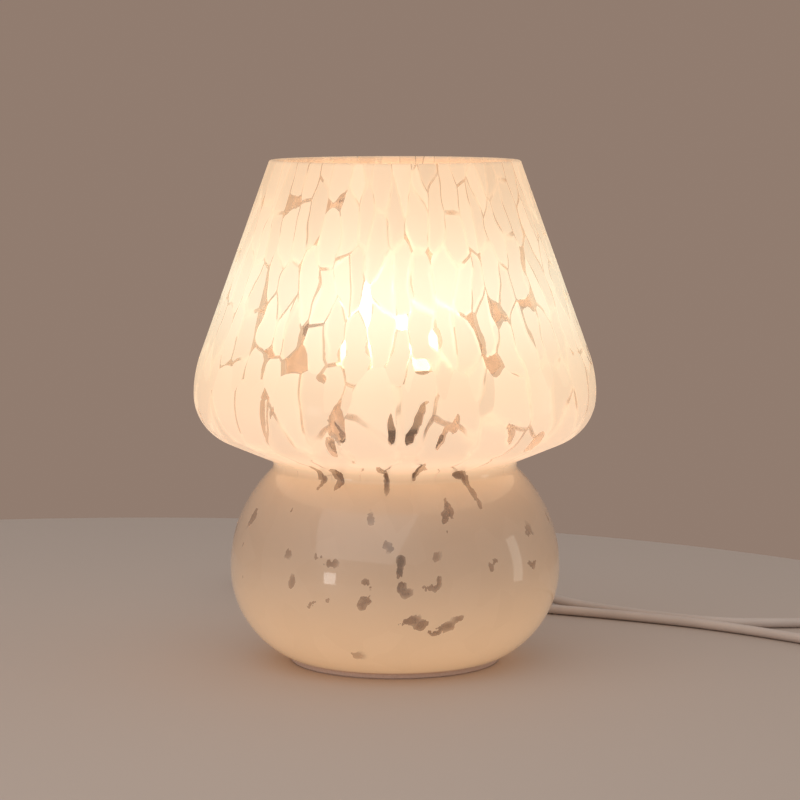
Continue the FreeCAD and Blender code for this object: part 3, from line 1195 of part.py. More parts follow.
def make_switch_inside():
    """Two brass contact strips on the floor of the switch and the two screws that hold its halves."""
    strips = new_body("switch_contacts")
    strips.AllowCompound = True
    bars = sketch_on(strips, "contact_bars", "XY_Plane", "table_gap + switch_wall")
    near, far, end = "contact_spread / 2", "(contact_spread / 2 + contact_width)", "contact_length / 2"
    rectangle(bars, f"0 - {end}", near, end, far)
    rectangle(bars, f"0 - {end}", f"0 - {far}", "0 - contact_break / 2", f"0 - {near}")
    rectangle(bars, "contact_break / 2", f"0 - {far}", end, f"0 - {near}")
    pad(strips, "contact_bar_pads", bars, "contact_height")
    stand(strips, "switch_x", "switch_y")
    keep(strips, "switch_contacts")
    screws = new_body("switch_screws")
    screws.AllowCompound = True
    heads = sketch_on(screws, "screw_heads", "XY_Plane", "0")
    at_posts(heads, lambda sketch, x, y: circle(sketch, "screw_head_radius", x, y))
    pad(screws, "screw_head_pair", heads, "screw_head_height")
    shanks = sketch_on(screws, "screw_shanks", "XY_Plane", "screw_head_height")
    at_posts(shanks, lambda sketch, x, y: circle(sketch, "screw_radius", x, y))
    shank = "switch_height / 2 + screw_bite - screw_head_height - screw_sunk"
    pad(screws, "screw_shank_pair", shanks, shank)
    slots = sketch_on(screws, "screw_slots", "XY_Plane", "0")
    half, wide = "screw_slot_length / 2", "screw_slot_width / 2"
    at_posts(slots, lambda sketch, x, y: rectangle(
        sketch, f"{x} - {half}", f"{y} - {wide}", f"{x} + {half}", f"{y} + {wide}"))
    pocket(screws, "screw_slot_cut", slots, "screw_head_height / 2", towards_normal=True)
    stand(screws, "switch_x", "switch_y", "table_gap + screw_sunk")
    keep(screws, "switch_screws")


# --- the plug -------------------------------------------------------------------------------------------


def make_plug():
    """A flat two-pin plug that tapers to the lead, its tapered sleeve, and two pins that lean together."""
    lying_sleeve("plug_sleeve", "plug_relief_length", "plug_relief_radius", "relief_tip_radius",
                 "plug_back_x + relief_grip", "coil_far_y", "plug_mid_z", -1)
    pins = []
    for side in (-1, 1):
        pin = new_body("plug_pin_left" if side > 0 else "plug_pin_right")
        profile = sketch_on(pin, pin.Label + "_outline", "XY_Plane")
        tip = "pin_radius * 0.6"
        outline(profile, [
            ("0 - pin_root", "0"), ("0 - pin_root", "pin_root_radius"), ("pin_step", "pin_root_radius"),
            ("pin_step", "pin_radius"), (f"pin_length - {tip}", "pin_radius"),
            ("pin_length", f"pin_radius - {tip}"), ("pin_length", "0"),
        ], {4: (tip, -1)})
        turned = pin.newObject("PartDesign::Revolution", pin.Label + "_turned")
        turned.Profile = profile
        turned.ReferenceAxis = (profile, ["H_Axis"])
        turned.Angle = 360
        doc.recompute()
        sign = "+" if side > 0 else "-"
        stand(pin, "plug_face_x", f"coil_far_y {sign} pin_spacing / 2", "plug_mid_z",
              Vector(0, 0, -side), "pin_lean")
        pins.append(pin)
    pair = doc.addObject("Part::Compound", "plug_pins")
    pair.Links = pins
    keep(pair, "plug_pins")
    blank = new_body("plug_blank")
    top_view = sketch_on(blank, "plug_top_view", "XY_Plane")
    shoulder = "plug_length - plug_straight"
    outline(top_view, [
        ("0", "0 - plug_tail_width / 2"), (shoulder, "0 - plug_width / 2"),
        ("plug_length", "0 - plug_width / 2"), ("plug_length", "plug_width / 2"),
        (shoulder, "plug_width / 2"), ("0", "plug_tail_width / 2"),
    ])
    solid = pad(blank, "plug_solid", top_view, "plug_thickness", both_ways=True)
    high = number("plug_thickness / 2")
    at_shoulder = [name for name in upright_edges(solid.Shape, 1) if name not in
                   upright_edges(solid.Shape, number(shoulder) + 1)]
    shoulders = finish_edges(blank, solid, "Fillet", "plug_shoulder", at_shoulder)
    corners = finish_edges(blank, shoulders, "Fillet", "plug_edge", [
        f"Edge{index}" for index, edge in enumerate(shoulders.Shape.Edges, start=1)
        if abs(edge.tangentAt(edge.FirstParameter).z) > 0.99
        and min(abs(edge.CenterOfMass.x), abs(edge.CenterOfMass.x - number("plug_length"))) < 1e-3])
    long_edges = level_edges(corners.Shape, high) + level_edges(corners.Shape, -high)
    finish_edges(blank, corners, "Fillet", "plug_edge", long_edges)
    stand(blank, "plug_back_x", "coil_far_y", "plug_mid_z")
    fittings = doc.addObject("Part::Compound", "plug_fittings")
    fittings.Links = [pair, doc.getObject("plug_sleeve")]
    plug = doc.addObject("Part::Cut", "plug_body")
    plug.Base = blank
    plug.Tool = fittings
    doc.recompute()
    keep(plug, "plug_body")


def check_and_write():
    """Stops on any failed object or bad solid, then writes one file for each sub-part."""
    doc.recompute()
    failed = [thing.Label for thing in doc.Objects if "Invalid" in thing.State or "Error" in thing.State]
    if failed:
        raise ValueError(f"failed: {failed}")
    for part in parts:
        shape = part.Shape
        if shape.isNull() or not shape.isValid() or not shape.Solids:
            raise ValueError(f"{part.Label} is not a good solid")
    os.makedirs("parts", exist_ok=True)
    for part in parts:
        part.Shape.exportStep(f"parts/{part.Label}.step")
    print(len(parts), "sub-parts written")


fill_sheet()
glass = make_glass()
make_foot_pad()
make_grommet(glass)
make_clip()
leg_angle = "leg_turn * 1 deg"
rest_angle = "leg_turn * 1 deg + 180 deg / arm_count"
sleeve_set("leg_sleeves", glass, LEG[-1], ("cos(leg_lean)", "0 - sin(leg_lean)"), leg_angle)
sleeve_set("rest_sleeves", glass, REST[-1], ("slope_cos", "slope_sin"), rest_angle)
make_holder()
make_bulb()
make_inner_lead()
make_free_lead()
make_coil_tie()
make_switch()
make_plug()
check_and_write()
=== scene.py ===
import math

import bmesh
import bpy
import numpy as np
from bpy.props import FloatProperty, FloatVectorProperty, PointerProperty
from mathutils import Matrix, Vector


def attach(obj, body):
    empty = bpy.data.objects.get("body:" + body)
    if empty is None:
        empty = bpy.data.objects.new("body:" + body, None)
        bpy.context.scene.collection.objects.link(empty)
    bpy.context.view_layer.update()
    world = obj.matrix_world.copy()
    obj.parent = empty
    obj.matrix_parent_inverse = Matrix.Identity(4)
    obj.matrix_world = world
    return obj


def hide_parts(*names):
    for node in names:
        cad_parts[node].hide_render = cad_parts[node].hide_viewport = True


bl_info = {
    "name": "Mushroom Glass Lamp",
    "version": (1, 0, 0),
    "blender": (4, 5, 0),
    "location": "3D View > Sidebar > Lamp",
    "description": "Dresses a mushroom table lamp of chipped milk glass, its bulb, lead, switch and plug",
    "category": "Object",
}

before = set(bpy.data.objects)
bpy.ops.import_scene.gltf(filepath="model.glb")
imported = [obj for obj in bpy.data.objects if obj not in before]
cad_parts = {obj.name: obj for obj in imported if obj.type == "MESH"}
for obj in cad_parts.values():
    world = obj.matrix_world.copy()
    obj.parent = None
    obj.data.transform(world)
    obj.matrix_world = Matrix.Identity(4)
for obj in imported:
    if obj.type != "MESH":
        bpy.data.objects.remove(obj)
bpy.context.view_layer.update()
MM = 0.001

# The glass: the same circles and lines as the solid, in millimetres.
RIM_RADIUS, LAMP_HEIGHT = 55.8, 225.0
SHADE_RADIUS, SHADE_WIDEST_Z = 90.1, 120.8
SHOULDER_ARC, TURN_UNDER_ARC, UNDERSIDE_SLOPE, NECK_ARC = 54.0, 22.2, math.radians(23.0), 3.4
BODY_RADIUS, BODY_WIDEST_Z, BODY_UPPER_ARC, BODY_LOWER_ARC = 74.2, 42.6, 60.9, 44.0
GLASS_WALL, GLASS_FLOOR, PAD_THICKNESS = 2.8, 4.0, 2.3
RIM_ROUND, RIM_LEAN, FOOT_ROUND = 1.2, 0.42, 2.0
BULB_CENTRE_Z = 148.0
PLUG_MIDDLE_Z, PIN_SLEEVE_END_X = 6.95, 66.95

# Heights in metres that the glass's finish goes by: where a change starts and where it ends, and for a
# glow its middle and its spread.
SHADE_STARTS, UPPER_SHADE, LOWER_SHADE = (0.086, 0.098), (0.118, 0.132), (0.105, 0.140)
FOOT_GLOW, WAIST_GLOW, BULB_GLOW = (0.008, 0.066), (0.091, 0.007), (0.168, 0.034)
# Colours of the clear glass, a painted shade of the dim inside, and of the lamplight low on the shade and
# in front of the bulb.
CLEAR_GAP_SHADE, LOW_GLOW_COLOUR, BULB_GLOW_COLOUR = (0.42, 0.30, 0.23), (1.0, 0.70, 0.48), (0.98, 0.93, 0.69)
# The chips are laid out on a sheet that is wrapped round at this radius, in millimetres.
SHEET_RADIUS = 75.0
GLASS_COLUMNS = 320

# Places where the milk-white chips lie apart and the glass is clear: degrees from the front towards the
# right, height, half width and half height in millimetres, and how bare the place is.
CLEAR_PLACES = [
    (-34.5, 218.5, 2.1, 8.6, 0.9), (-23.1, 208.5, 3.2, 3.8, 1.0), (-32.9, 201.0, 2.5, 5.5, 0.9),
    (-44.3, 204.0, 3.0, 6.0, 0.5), (-47.1, 169.0, 4.4, 14.6, 0.9), (-37.1, 168.5, 3.2, 6.8, 0.9),
    (-27.6, 172.0, 2.4, 6.4, 0.9), (-17.1, 180.5, 2.2, 5.1, 0.7), (-37.2, 146.5, 4.8, 2.5, 1.0),
    (-32.5, 140.0, 6.5, 5.5, 1.0), (-26.6, 142.5, 5.7, 6.7, 1.0), (-21.1, 133.5, 5.4, 2.5, 1.0),
    (-56.1, 139.5, 3.9, 9.5, 0.8), (-42.1, 137.0, 2.3, 14.5, 0.7), (-38.8, 120.5, 1.2, 15.3, 0.9),
    (-33.8, 128.0, 1.3, 14.0, 0.6), (-15.5, 115.5, 1.5, 5.0, 0.9), (-18.7, 105.5, 1.2, 4.4, 0.8),
    (-1.1, 116.0, 1.0, 7.0, 1.0), (6.7, 122.0, 1.1, 11.0, 1.0), (4.3, 112.5, 1.1, 3.6, 1.0),
    (25.6, 157.5, 3.3, 9.3, 1.0), (20.9, 151.5, 4.5, 3.8, 1.0), (30.9, 165.0, 4.9, 5.9, 1.0),
    (34.0, 159.0, 4.1, 3.0, 0.9), (31.6, 138.5, 3.0, 5.1, 0.9), (15.5, 130.5, 2.6, 2.5, 0.9),
    (16.8, 119.0, 1.3, 9.5, 0.9), (13.2, 111.5, 1.2, 6.7, 0.9), (34.0, 111.0, 1.4, 6.0, 0.8),
    (45.4, 106.5, 2.2, 4.6, 0.9), (45.6, 159.0, 3.1, 10.3, 0.6), (25.9, 186.0, 5.7, 2.5, 0.6),
    (38.4, 174.5, 3.3, 3.0, 0.8), (45.2, 180.5, 4.9, 3.9, 0.6), (22.1, 198.0, 1.4, 3.4, 0.7),
    (-22.5, 149.0, 3.0, 8.5, 0.9), (-13.5, 149.0, 8.5, 2.6, 0.9), (-9.0, 165.0, 2.8, 8.5, 0.8),
    (-3.5, 155.0, 2.2, 6.5, 0.8), (2.4, 163.0, 1.0, 12.0, 0.8), (5.8, 141.0, 4.0, 4.2, 0.9),
    (12.0, 153.0, 4.6, 2.4, 0.9), (2.0, 149.0, 6.0, 2.0, 0.9), (-15.5, 170.0, 2.2, 7.0, 0.8),
    (-27.5, 157.0, 2.0, 8.0, 0.7), (2.0, 56.5, 1.3, 2.6, 1.0), (1.3, 51.5, 1.3, 3.0, 1.0),
    (2.0, 46.0, 1.5, 2.6, 1.0), (3.6, 43.0, 2.1, 1.3, 0.9), (-9.6, 47.0, 1.7, 1.3, 0.9),
    (-7.6, 44.0, 1.3, 2.1, 1.0), (-9.6, 40.0, 2.2, 1.5, 1.0), (-11.3, 37.5, 1.3, 1.7, 0.9),
    (1.0, 29.5, 3.0, 1.1, 0.8), (5.1, 31.0, 3.9, 1.7, 1.0), (9.2, 28.5, 3.0, 2.1, 1.0),
    (13.7, 25.5, 4.0, 2.1, 1.0), (18.5, 27.5, 3.6, 1.5, 0.9), (22.6, 30.5, 2.8, 1.1, 0.8),
    (-36.0, 91.0, 1.6, 3.0, 0.9), (-34.4, 86.0, 1.6, 3.0, 0.9), (-26.4, 91.0, 2.9, 2.2, 1.0),
    (-25.4, 86.5, 2.4, 3.5, 1.0), (-26.8, 83.5, 1.5, 2.6, 0.8), (-5.9, 94.5, 1.3, 2.6, 0.7),
    (-4.1, 88.0, 1.7, 4.3, 0.8), (9.2, 93.0, 1.3, 5.2, 0.9), (21.4, 78.5, 1.8, 5.2, 1.0),
    (19.2, 72.0, 2.3, 5.1, 0.9), (22.0, 70.0, 1.4, 5.1, 0.8), (30.2, 90.5, 3.5, 1.3, 1.0),
    (34.2, 87.5, 2.1, 2.6, 1.0), (34.8, 83.5, 1.6, 3.5, 0.9), (35.1, 79.5, 1.3, 3.5, 0.8),
    (-9.4, 73.5, 3.0, 2.1, 0.6), (-43.6, 75.0, 1.8, 3.9, 0.7), (-29.7, 71.5, 2.5, 1.7, 0.6),
    (-3.8, 63.5, 2.1, 1.3, 0.7), (-1.4, 62.0, 1.7, 1.3, 0.7), (-26.4, 57.5, 2.4, 1.3, 0.7),
    (-22.4, 55.0, 3.2, 1.7, 0.8), (13.7, 47.0, 1.8, 3.4, 0.9), (10.9, 45.5, 2.6, 1.3, 0.8),
    (36.2, 55.0, 3.2, 1.3, 0.7), (34.2, 51.5, 1.3, 2.6, 0.7), (54.3, 51.0, 3.0, 2.6, 0.8),
    (-36.8, 45.0, 1.6, 3.0, 0.7), (-28.9, 36.5, 2.9, 1.7, 0.7), (-66.3, 69.5, 3.3, 4.4, 0.7),
    (-23.5, 39.0, 1.4, 1.3, 0.6), (-15.5, 13.5, 3.6, 1.1, 0.6), (24.9, 13.0, 2.9, 1.1, 0.6),
    (-39.7, 57.5, 1.7, 1.7, 0.6), (14.0, 58.0, 1.3, 1.7, 0.6), (53.6, 36.5, 2.9, 2.2, 0.5),
]
# The same places come round again at the sides and the back: degrees turned, millimetres raised, ease.
CLEAR_REPEATS = [(0.0, 0.0, 1.0), (122.0, -7.0, 0.85), (240.0, 6.0, 0.9)]
# The chips by height: width, height, and the heights between which they lie.
CHIP_KINDS = [(8.5, 25.0, 132.0, 400.0), (16.0, 44.0, 90.0, 132.0), (13.0, 15.0, -10.0, 90.0)]

# The lead's points in millimetres, as the solid has them: x, y and where it is not low on the table, z.
LEAD_DIAMETER, LEAD_Z = 4.6, 2.4
LEAD_DROP = [(0.0, 75.475, 12.085), (0.0, 89.835, LEAD_Z)]
LEAD_ON_TABLE = [
    (3, 108), (18, 121), (44, 120.5), (78, 105.5), (118, 85.5), (150, 66), (181, 39.8), (207, 12.5),
    (235, 14.5), (250, 39), (240, 65), (213, 72), (180, 69.5), (157, 71), (127.5, 87), (104, 105.5),
    (87, 121),
]
LEAD_UP_TO_SWITCH = [(71, 139.5, 4.0), (56.5, 146, 7.5), (41, 146, 7.6)]
LEAD_DOWN_TO_COIL = [(-35, 146, 7.6), (-50.5, 146.5, 7.3), (-66, 152.5, 4.6), (-75.4, 166.5, 3.6)]
COIL_CENTRE, COIL_RADIUS, COIL_TURNS, COIL_PITCH, COIL_LOW_Z = (-42.0, 190.0), 35.0, 6.25, 5.15, 3.65
PLUG_LEAD = [(-6, 225, PLUG_MIDDLE_Z), (6, 225, PLUG_MIDDLE_Z)]

# The stage: the table in metres, the room's light and its wall, and the camera as it was fitted, in metres
# and in pixels of a square frame, with its sensor in millimetres.
TABLE_RADIUS, TABLE_BEVEL, TABLE_THICKNESS, TABLE_CENTRE = 0.52, 0.004, 0.03, (-0.145, -0.108)
ROOM_LIGHT, ROOM_LIGHT_STRENGTH, WALL_COLOUR = (1.0, 0.975, 0.95), 0.55, (0.284, 0.203, 0.160)
FRAME_PIXELS, FOCAL_PIXELS, SHIFT_PIXELS, SENSOR_WIDTH = 800.0, 2878.0, 5.0, 36.0
CAMERA_PLACE, CAMERA_TILT = (0.0, -1.283, 0.264), math.radians(6.513)


class LampSettings(bpy.types.PropertyGroup):
    """The sizes and colours that a user of the lamp would change."""

    chip_colour: FloatVectorProperty(
        name="Chip colour", description="Milk-white glass chips under the clear casing",
        subtype="COLOR", size=3, min=0.0, max=1.0, default=(0.60, 0.43, 0.32),
    )
    glow_colour: FloatVectorProperty(
        name="Glow colour", description="Lamplight that comes through the chips",
        subtype="COLOR", size=3, min=0.0, max=1.0, default=(1.0, 0.66, 0.36),
    )
    glow: FloatProperty(
        name="Glow", description="Strength of the lamplight in the glass", default=1.0, min=0.0, max=3.0,
    )
    chip_size: FloatProperty(
        name="Chip size", description="Size of the glass chips, 1 as made", default=1.0, min=0.5, max=2.0,
    )
    lead_colour: FloatVectorProperty(
        name="Lead colour", description="Sheath of the lead",
        subtype="COLOR", size=3, min=0.0, max=1.0, default=(0.58, 0.49, 0.44),
    )
    lead_width: FloatProperty(
        name="Lead width", description="Outside diameter of the lead",
        subtype="DISTANCE", unit="LENGTH", default=LEAD_DIAMETER * MM, min=0.003, max=0.008,
    )


# --- shader maths -------------------------------------------------------------------------------------


class Signal:
    """A value on its way through a material. Arithmetic on it adds Math nodes."""

    def __init__(self, bench, socket):
        self.bench, self.socket = bench, socket

    def math(self, operation, *values):
        return self.bench.node("ShaderNodeMath", {"operation": operation}, values)

    def __add__(self, other):
        return self.math("ADD", self, other)

    def __radd__(self, other):
        return self.math("ADD", other, self)

    def __sub__(self, other):
        return self.math("SUBTRACT", self, other)

    def __rsub__(self, other):
        return self.math("SUBTRACT", other, self)

    def __mul__(self, other):
        return self.math("MULTIPLY", self, other)

    def __rmul__(self, other):
        return self.math("MULTIPLY", other, self)

    def __truediv__(self, other):
        return self.math("DIVIDE", self, other)

    def __rtruediv__(self, other):
        return self.math("DIVIDE", other, self)

    def __pow__(self, other):
        return self.math("POWER", self, other)

    def largest(self, other):
        return self.math("MAXIMUM", self, other)

    def smallest(self, other):
        return self.math("MINIMUM", self, other)

    def between(self, low, high, start=0.0, stop=1.0):
        """Smoothly from start at low to stop at high."""
        return self.bench.node(
            "ShaderNodeMapRange", {"interpolation_type": "SMOOTHSTEP"},
            {"Value": self, "From Min": low, "From Max": high, "To Min": start, "To Max": stop},
        )


class Bench:
    """A new material and the node that ends it."""

    def __init__(self, name):
        self.material = bpy.data.materials.new(name)
        self.material.use_nodes = True
        self.tree = self.material.node_tree
        self.tree.nodes.clear()

    def node(self, kind, settings=None, values=(), output=0):
        """Adds a node: its settings first, then a value or a link for each socket named or numbered."""
        made = self.tree.nodes.new(kind)
        for name, value in (settings or {}).items():
            setattr(made, name, value)
        for name, value in values.items() if isinstance(values, dict) else enumerate(values):
            if isinstance(value, Signal):
                self.tree.links.new(value.socket, made.inputs[name])
            else:
                made.inputs[name].default_value = value
        return Signal(self, made.outputs[output])

    def place(self):
        """Where the point is on the lamp, in metres."""
        return self.node("ShaderNodeTexCoord", output="Object")

    def parts(self, vector):
        """A vector's x, y and z."""
        split = self.tree.nodes.new("ShaderNodeSeparateXYZ")
        self.tree.links.new(vector.socket, split.inputs[0])
        return [Signal(self, split.outputs[k]) for k in range(3)]

    def join(self, x, y, z):
        return self.node("ShaderNodeCombineXYZ", None, (x, y, z))

    def stretched(self, vector, scale):
        """A vector times another, number by number."""
        return self.node("ShaderNodeVectorMath", {"operation": "MULTIPLY"}, (vector, scale))

    def noise(self, vector, scale, detail=2.0, roughness=0.5):
        return self.node("ShaderNodeTexNoise", None, {
            "Vector": vector, "Scale": scale, "Detail": detail, "Roughness": roughness})

    def mix(self, share, low, high):
        """Between two colours, low at 0 and high at 1."""
        sockets = {0: share, 6: low, 7: high}
        return self.node("ShaderNodeMix", {"data_type": "RGBA"}, sockets, output=2)

    def bump(self, height, distance, strength=1.0):
        return self.node("ShaderNodeBump", None, {
            "Height": height, "Distance": distance, "Strength": strength})

    def finish(self, sockets):
        """A Principled shader with these sockets, wired to the output."""
        shader = self.node("ShaderNodeBsdfPrincipled", None, sockets)
        ending = self.tree.nodes.new("ShaderNodeOutputMaterial")
        self.tree.links.new(shader.socket, ending.inputs["Surface"])
        return self.material


def rgb(colour):
    """A colour as a socket takes it."""
    return (*colour, 1.0)


# --- finishes -----------------------------------------------------------------------------------------


def chip_layer(bench, across, down, width, height):
    """One layer of chips of a given size in millimetres: how far from a chip's middle, its own tone, and
    how far from the nearest chip's border."""
    place = {"Vector": bench.join(across * (1000.0 / width), down * (1000.0 / height), 0.0), "Scale": 1.0,
             "Randomness": 0.86}
    kind = {"voronoi_dimensions": "2D", "feature": "F1"}
    distance = bench.node("ShaderNodeTexVoronoi", kind, place)
    tone = bench.parts(bench.node("ShaderNodeTexVoronoi", kind, place, output="Color"))[0]
    kind["feature"] = "DISTANCE_TO_EDGE"
    return distance, tone, bench.node("ShaderNodeTexVoronoi", kind, place)


def chipped_glass(look):
    """Clear gloss glass over elongated milk-white chips: they merge on the body and leave cusped gaps
    between them on the shade. Lamplight comes through the chips.

    A point's distance from the nearest chip is the least over chips of three sizes, each laid out from
    the front and again from the back: d = min(d_k + far_k), far_k being 0 where that layer lies. The
    glass is clear where d is past a limit that is lower where the glass is bare."""
    bench = Bench("chipped_milk_glass")
    # The chips' own layout, which follows the surface, and each point's nearest chip.
    sheet = bench.node("ShaderNodeAttribute", {"attribute_name": "chip_sheet"}, output="Vector")
    bare = bench.node("ShaderNodeAttribute", {"attribute_name": "bare_glass"}, output="Fac")
    inside = bench.node("ShaderNodeAttribute", {"attribute_name": "inner_face"}, output="Fac")
    place = bench.place()
    x, y, z = bench.parts(place)
    wander = bench.noise(place, 42.0, 2.0)
    sway = bench.noise(bench.stretched(place, (90.0, 90.0, 30.0)), 1.0, 1.0) - 0.5
    front, down, back = bench.parts(sheet)
    facing = 0.0 - y / (x * x + y * y).largest(1e-6) ** 0.5
    distance, tone, border = None, None, None
    for width, height, low, high in CHIP_KINDS:
        level = z * 1000.0
        off = (low - level).largest(level - high).largest(0.0) * 0.05
        for across, turned in ((front, 1.0), (back, -1.0)):
            behind = ((-0.35 - facing) * turned * 5.0).largest(0.0)
            near, own, rim = chip_layer(
                bench, across + sway * 0.009 + wander * 0.003, down + wander * 0.012,
                width * look.chip_size, height * look.chip_size)
            near = near + off + behind
            if distance is None:
                distance, tone, border = near, own, rim
            else:
                nearer = distance.math("GREATER_THAN", distance, near)
                tone, border = tone + (own - tone) * nearer, border + (rim - border) * nearer
                distance = distance.smallest(near)
    # Where the glass is clear: in the gaps between chips and, in patches, along hairlines at their borders.
    on_shade, upper = z.between(*SHADE_STARTS), z.between(*UPPER_SHADE)
    fine = bench.noise(bench.stretched(place, (1.0, 1.0, 0.6)), 430.0, 2.0) - 0.5
    limit = 0.86 - on_shade * 0.10 - bare * (0.74 - upper * 0.45) + (0.5 - wander) * 0.20
    limit = limit + fine * (0.75 - on_shade * 0.53 - upper * 0.16)
    gap = (distance - limit).between(0.0, 0.04) * (bare * 1.15 + on_shade).smallest(1.0)
    patch = (wander + bare * 0.45).between(0.50, 0.62) * on_shade
    crack = border.between(0.014, 0.045, 1.0, 0.0) * patch
    clear = gap.largest(crack * 0.75)
    web = border.between(0.0, 0.13, 1.0, 0.0) * on_shade * (1.0 - patch * 0.7)
    dull = [c * 0.95 for c in look.chip_colour]
    bright = [min(1.0, c * f) for c, f in zip(look.chip_colour, (1.06, 1.10, 1.13))]
    chips = bench.mix(tone * (0.45 + on_shade * 0.55), rgb(dull), rgb(bright))
    # In the clear gaps the colour is painted shade, a brown for the dim inside; the real inside also shows,
    # as the gaps are partly see-through.
    colour = bench.mix(clear, chips, rgb(CLEAR_GAP_SHADE))
    # The lamplight in the glass: strongest in front of the bulb, then at the waist and near the foot.
    waist, middle = (1.0 / (1.0 + ((z - at) / spread) ** 2.0) for at, spread in (WAIST_GLOW, BULB_GLOW))
    low = on_shade * z.between(*LOWER_SHADE, 1.0, 0.0)
    strength = z.between(*FOOT_GLOW, 0.38, 0.08)
    strength = strength + on_shade * (0.32 + middle * 0.19 + tone * 0.08 + web * 0.12)
    strength = strength + low * 0.05
    strength = (strength + waist * 0.30) * (1.0 - clear * 0.9) * (1.0 - inside * 0.6) * look.glow
    warm = bench.mix(low, rgb(look.glow_colour), rgb(LOW_GLOW_COLOUR))
    glow = bench.mix(middle * on_shade, warm, rgb(BULB_GLOW_COLOUR))
    light = bench.node("ShaderNodeVectorMath", {"operation": "SCALE"}, {0: glow, "Scale": strength})
    return bench.finish({
        "Base Color": colour,
        "Roughness": 0.42 - clear * 0.36,
        "Alpha": 0.975 - web * 0.24 - clear * (0.34 + on_shade * 0.32),
        "IOR": 1.5,
        "Transmission Weight": 0.22,
        "Coat Weight": 1.0 - on_shade * 0.85,
        "Coat Roughness": 0.05,
        "Emission Color": light,
        "Emission Strength": 1.0,
        "Normal": bench.bump(distance * -1.0, 0.0005, 0.25),
    })


def moulded(name, colour, roughness, grain=1400.0, depth=0.00003, parting=None, coat=0.0):
    """Moulded plastic: a fine even grain, faint cloudiness, and where it has one, its parting line."""
    bench = Bench(name)
    place = bench.place()
    cloud = bench.noise(place, 60.0, 3.0)
    height = bench.noise(place, grain, 1.0)
    if parting is not None:
        _, _, z = bench.parts(place)
        level = z - parting
        height = height - level.math("ABSOLUTE", level).between(0.0, 0.00035, 1.0, 0.0) * 6.0
    return bench.finish({
        "Base Color": bench.mix(cloud.between(0.35, 0.65), rgb([c * 0.95 for c in colour]), rgb(colour)),
        "Roughness": roughness + (cloud - 0.5) * 0.12,
        "IOR": 1.46,
        "Coat Weight": coat,
        "Normal": bench.bump(height, depth),
    })


def metal(name, colour, roughness, along=(60.0, 60.0, 2600.0)):
    """Drawn or turned metal: fine lines across its length, with duller patches."""
    bench = Bench(name)
    place = bench.place()
    lines = bench.noise(bench.stretched(place, along), 1.0, 2.0)
    patches = bench.noise(place, 90.0, 3.0)
    return bench.finish({
        "Base Color": bench.mix(patches.between(0.3, 0.7), rgb([c * 0.86 for c in colour]), rgb(colour)),
        "Metallic": 1.0,
        "Roughness": roughness + (lines - 0.5) * 0.16 + (patches - 0.5) * 0.10,
        "Normal": bench.bump(lines, 0.00001),
    })


def soft_pad():
    """A soft pale foot pad: short fibres and a matt face."""
    bench = Bench("soft_pad")
    place = bench.place()
    fibres = bench.noise(bench.stretched(place, (1.0, 2.4, 1.0)), 900.0, 3.0)
    return bench.finish({
        "Base Color": bench.mix(fibres, rgb((0.54, 0.40, 0.34)), rgb((0.70, 0.54, 0.47))),
        "Roughness": 0.88 + (fibres - 0.5) * 0.1,
        "Normal": bench.bump(fibres, 0.0002),
    })


def lit_globe():
    """A frosted diffuser with the light behind it."""
    bench = Bench("lit_globe")
    _, _, z = bench.parts(bench.place())
    up = z.between(0.133, 0.150)
    return bench.finish({
        "Base Color": rgb((0.95, 0.92, 0.86)),
        "Roughness": 0.5 + bench.noise(bench.place(), 700.0) * 0.1,
        "Emission Color": bench.mix(up, rgb((1.0, 0.74, 0.42)), rgb((1.0, 0.90, 0.70))),
        "Emission Strength": 3.0,
    })


def sheath(look):
    """The lead's smooth flexible sheath, faintly rippled by the two cores inside it."""
    bench = Bench("lead_sheath")
    place = bench.place()
    ripple = bench.noise(place, 220.0, 1.0)
    marks = bench.noise(place, 40.0, 3.0)
    worn = [c * 0.93 for c in look.lead_colour]
    return bench.finish({
        "Base Color": bench.mix(marks.between(0.35, 0.7), rgb(worn), rgb(look.lead_colour)),
        "Roughness": 0.42 + (marks - 0.5) * 0.14,
        "IOR": 1.48,
        "Normal": bench.bump(ripple, 0.00012),
    })


def sleeved_pins():
    """Nickel pins with a dark insulating sleeve over the half next to the plug."""
    bench = Bench("sleeved_pins")
    place = bench.place()
    x, _, _ = bench.parts(place)
    bare = x.between((PIN_SLEEVE_END_X - 0.15) * MM, (PIN_SLEEVE_END_X + 0.15) * MM)
    lines = bench.noise(bench.stretched(place, (2400.0, 60.0, 60.0)), 1.0)
    return bench.finish({
        "Base Color": bench.mix(bare, rgb((0.03, 0.03, 0.032)), rgb((0.72, 0.70, 0.66))),
        "Metallic": bare,
        "Roughness": 0.42 - bare * 0.18 + (lines - 0.5) * 0.08,
    })


def wire_colours():
    """Two insulated wires, one brown and one blue."""
    bench = Bench("inner_wire_colours")
    place = bench.place()
    x, _, _ = bench.parts(place)
    soft = bench.noise(place, 300.0)
    brown, blue = (0.20, 0.09, 0.045), (0.04, 0.12, 0.34)
    return bench.finish({
        "Base Color": bench.mix(x.between(-0.0001, 0.0001), rgb(brown), rgb(blue)),
        "Roughness": 0.40 + (soft - 0.5) * 0.1,
        "Normal": bench.bump(soft, 0.00005),
    })


# --- shapes -------------------------------------------------------------------------------------------


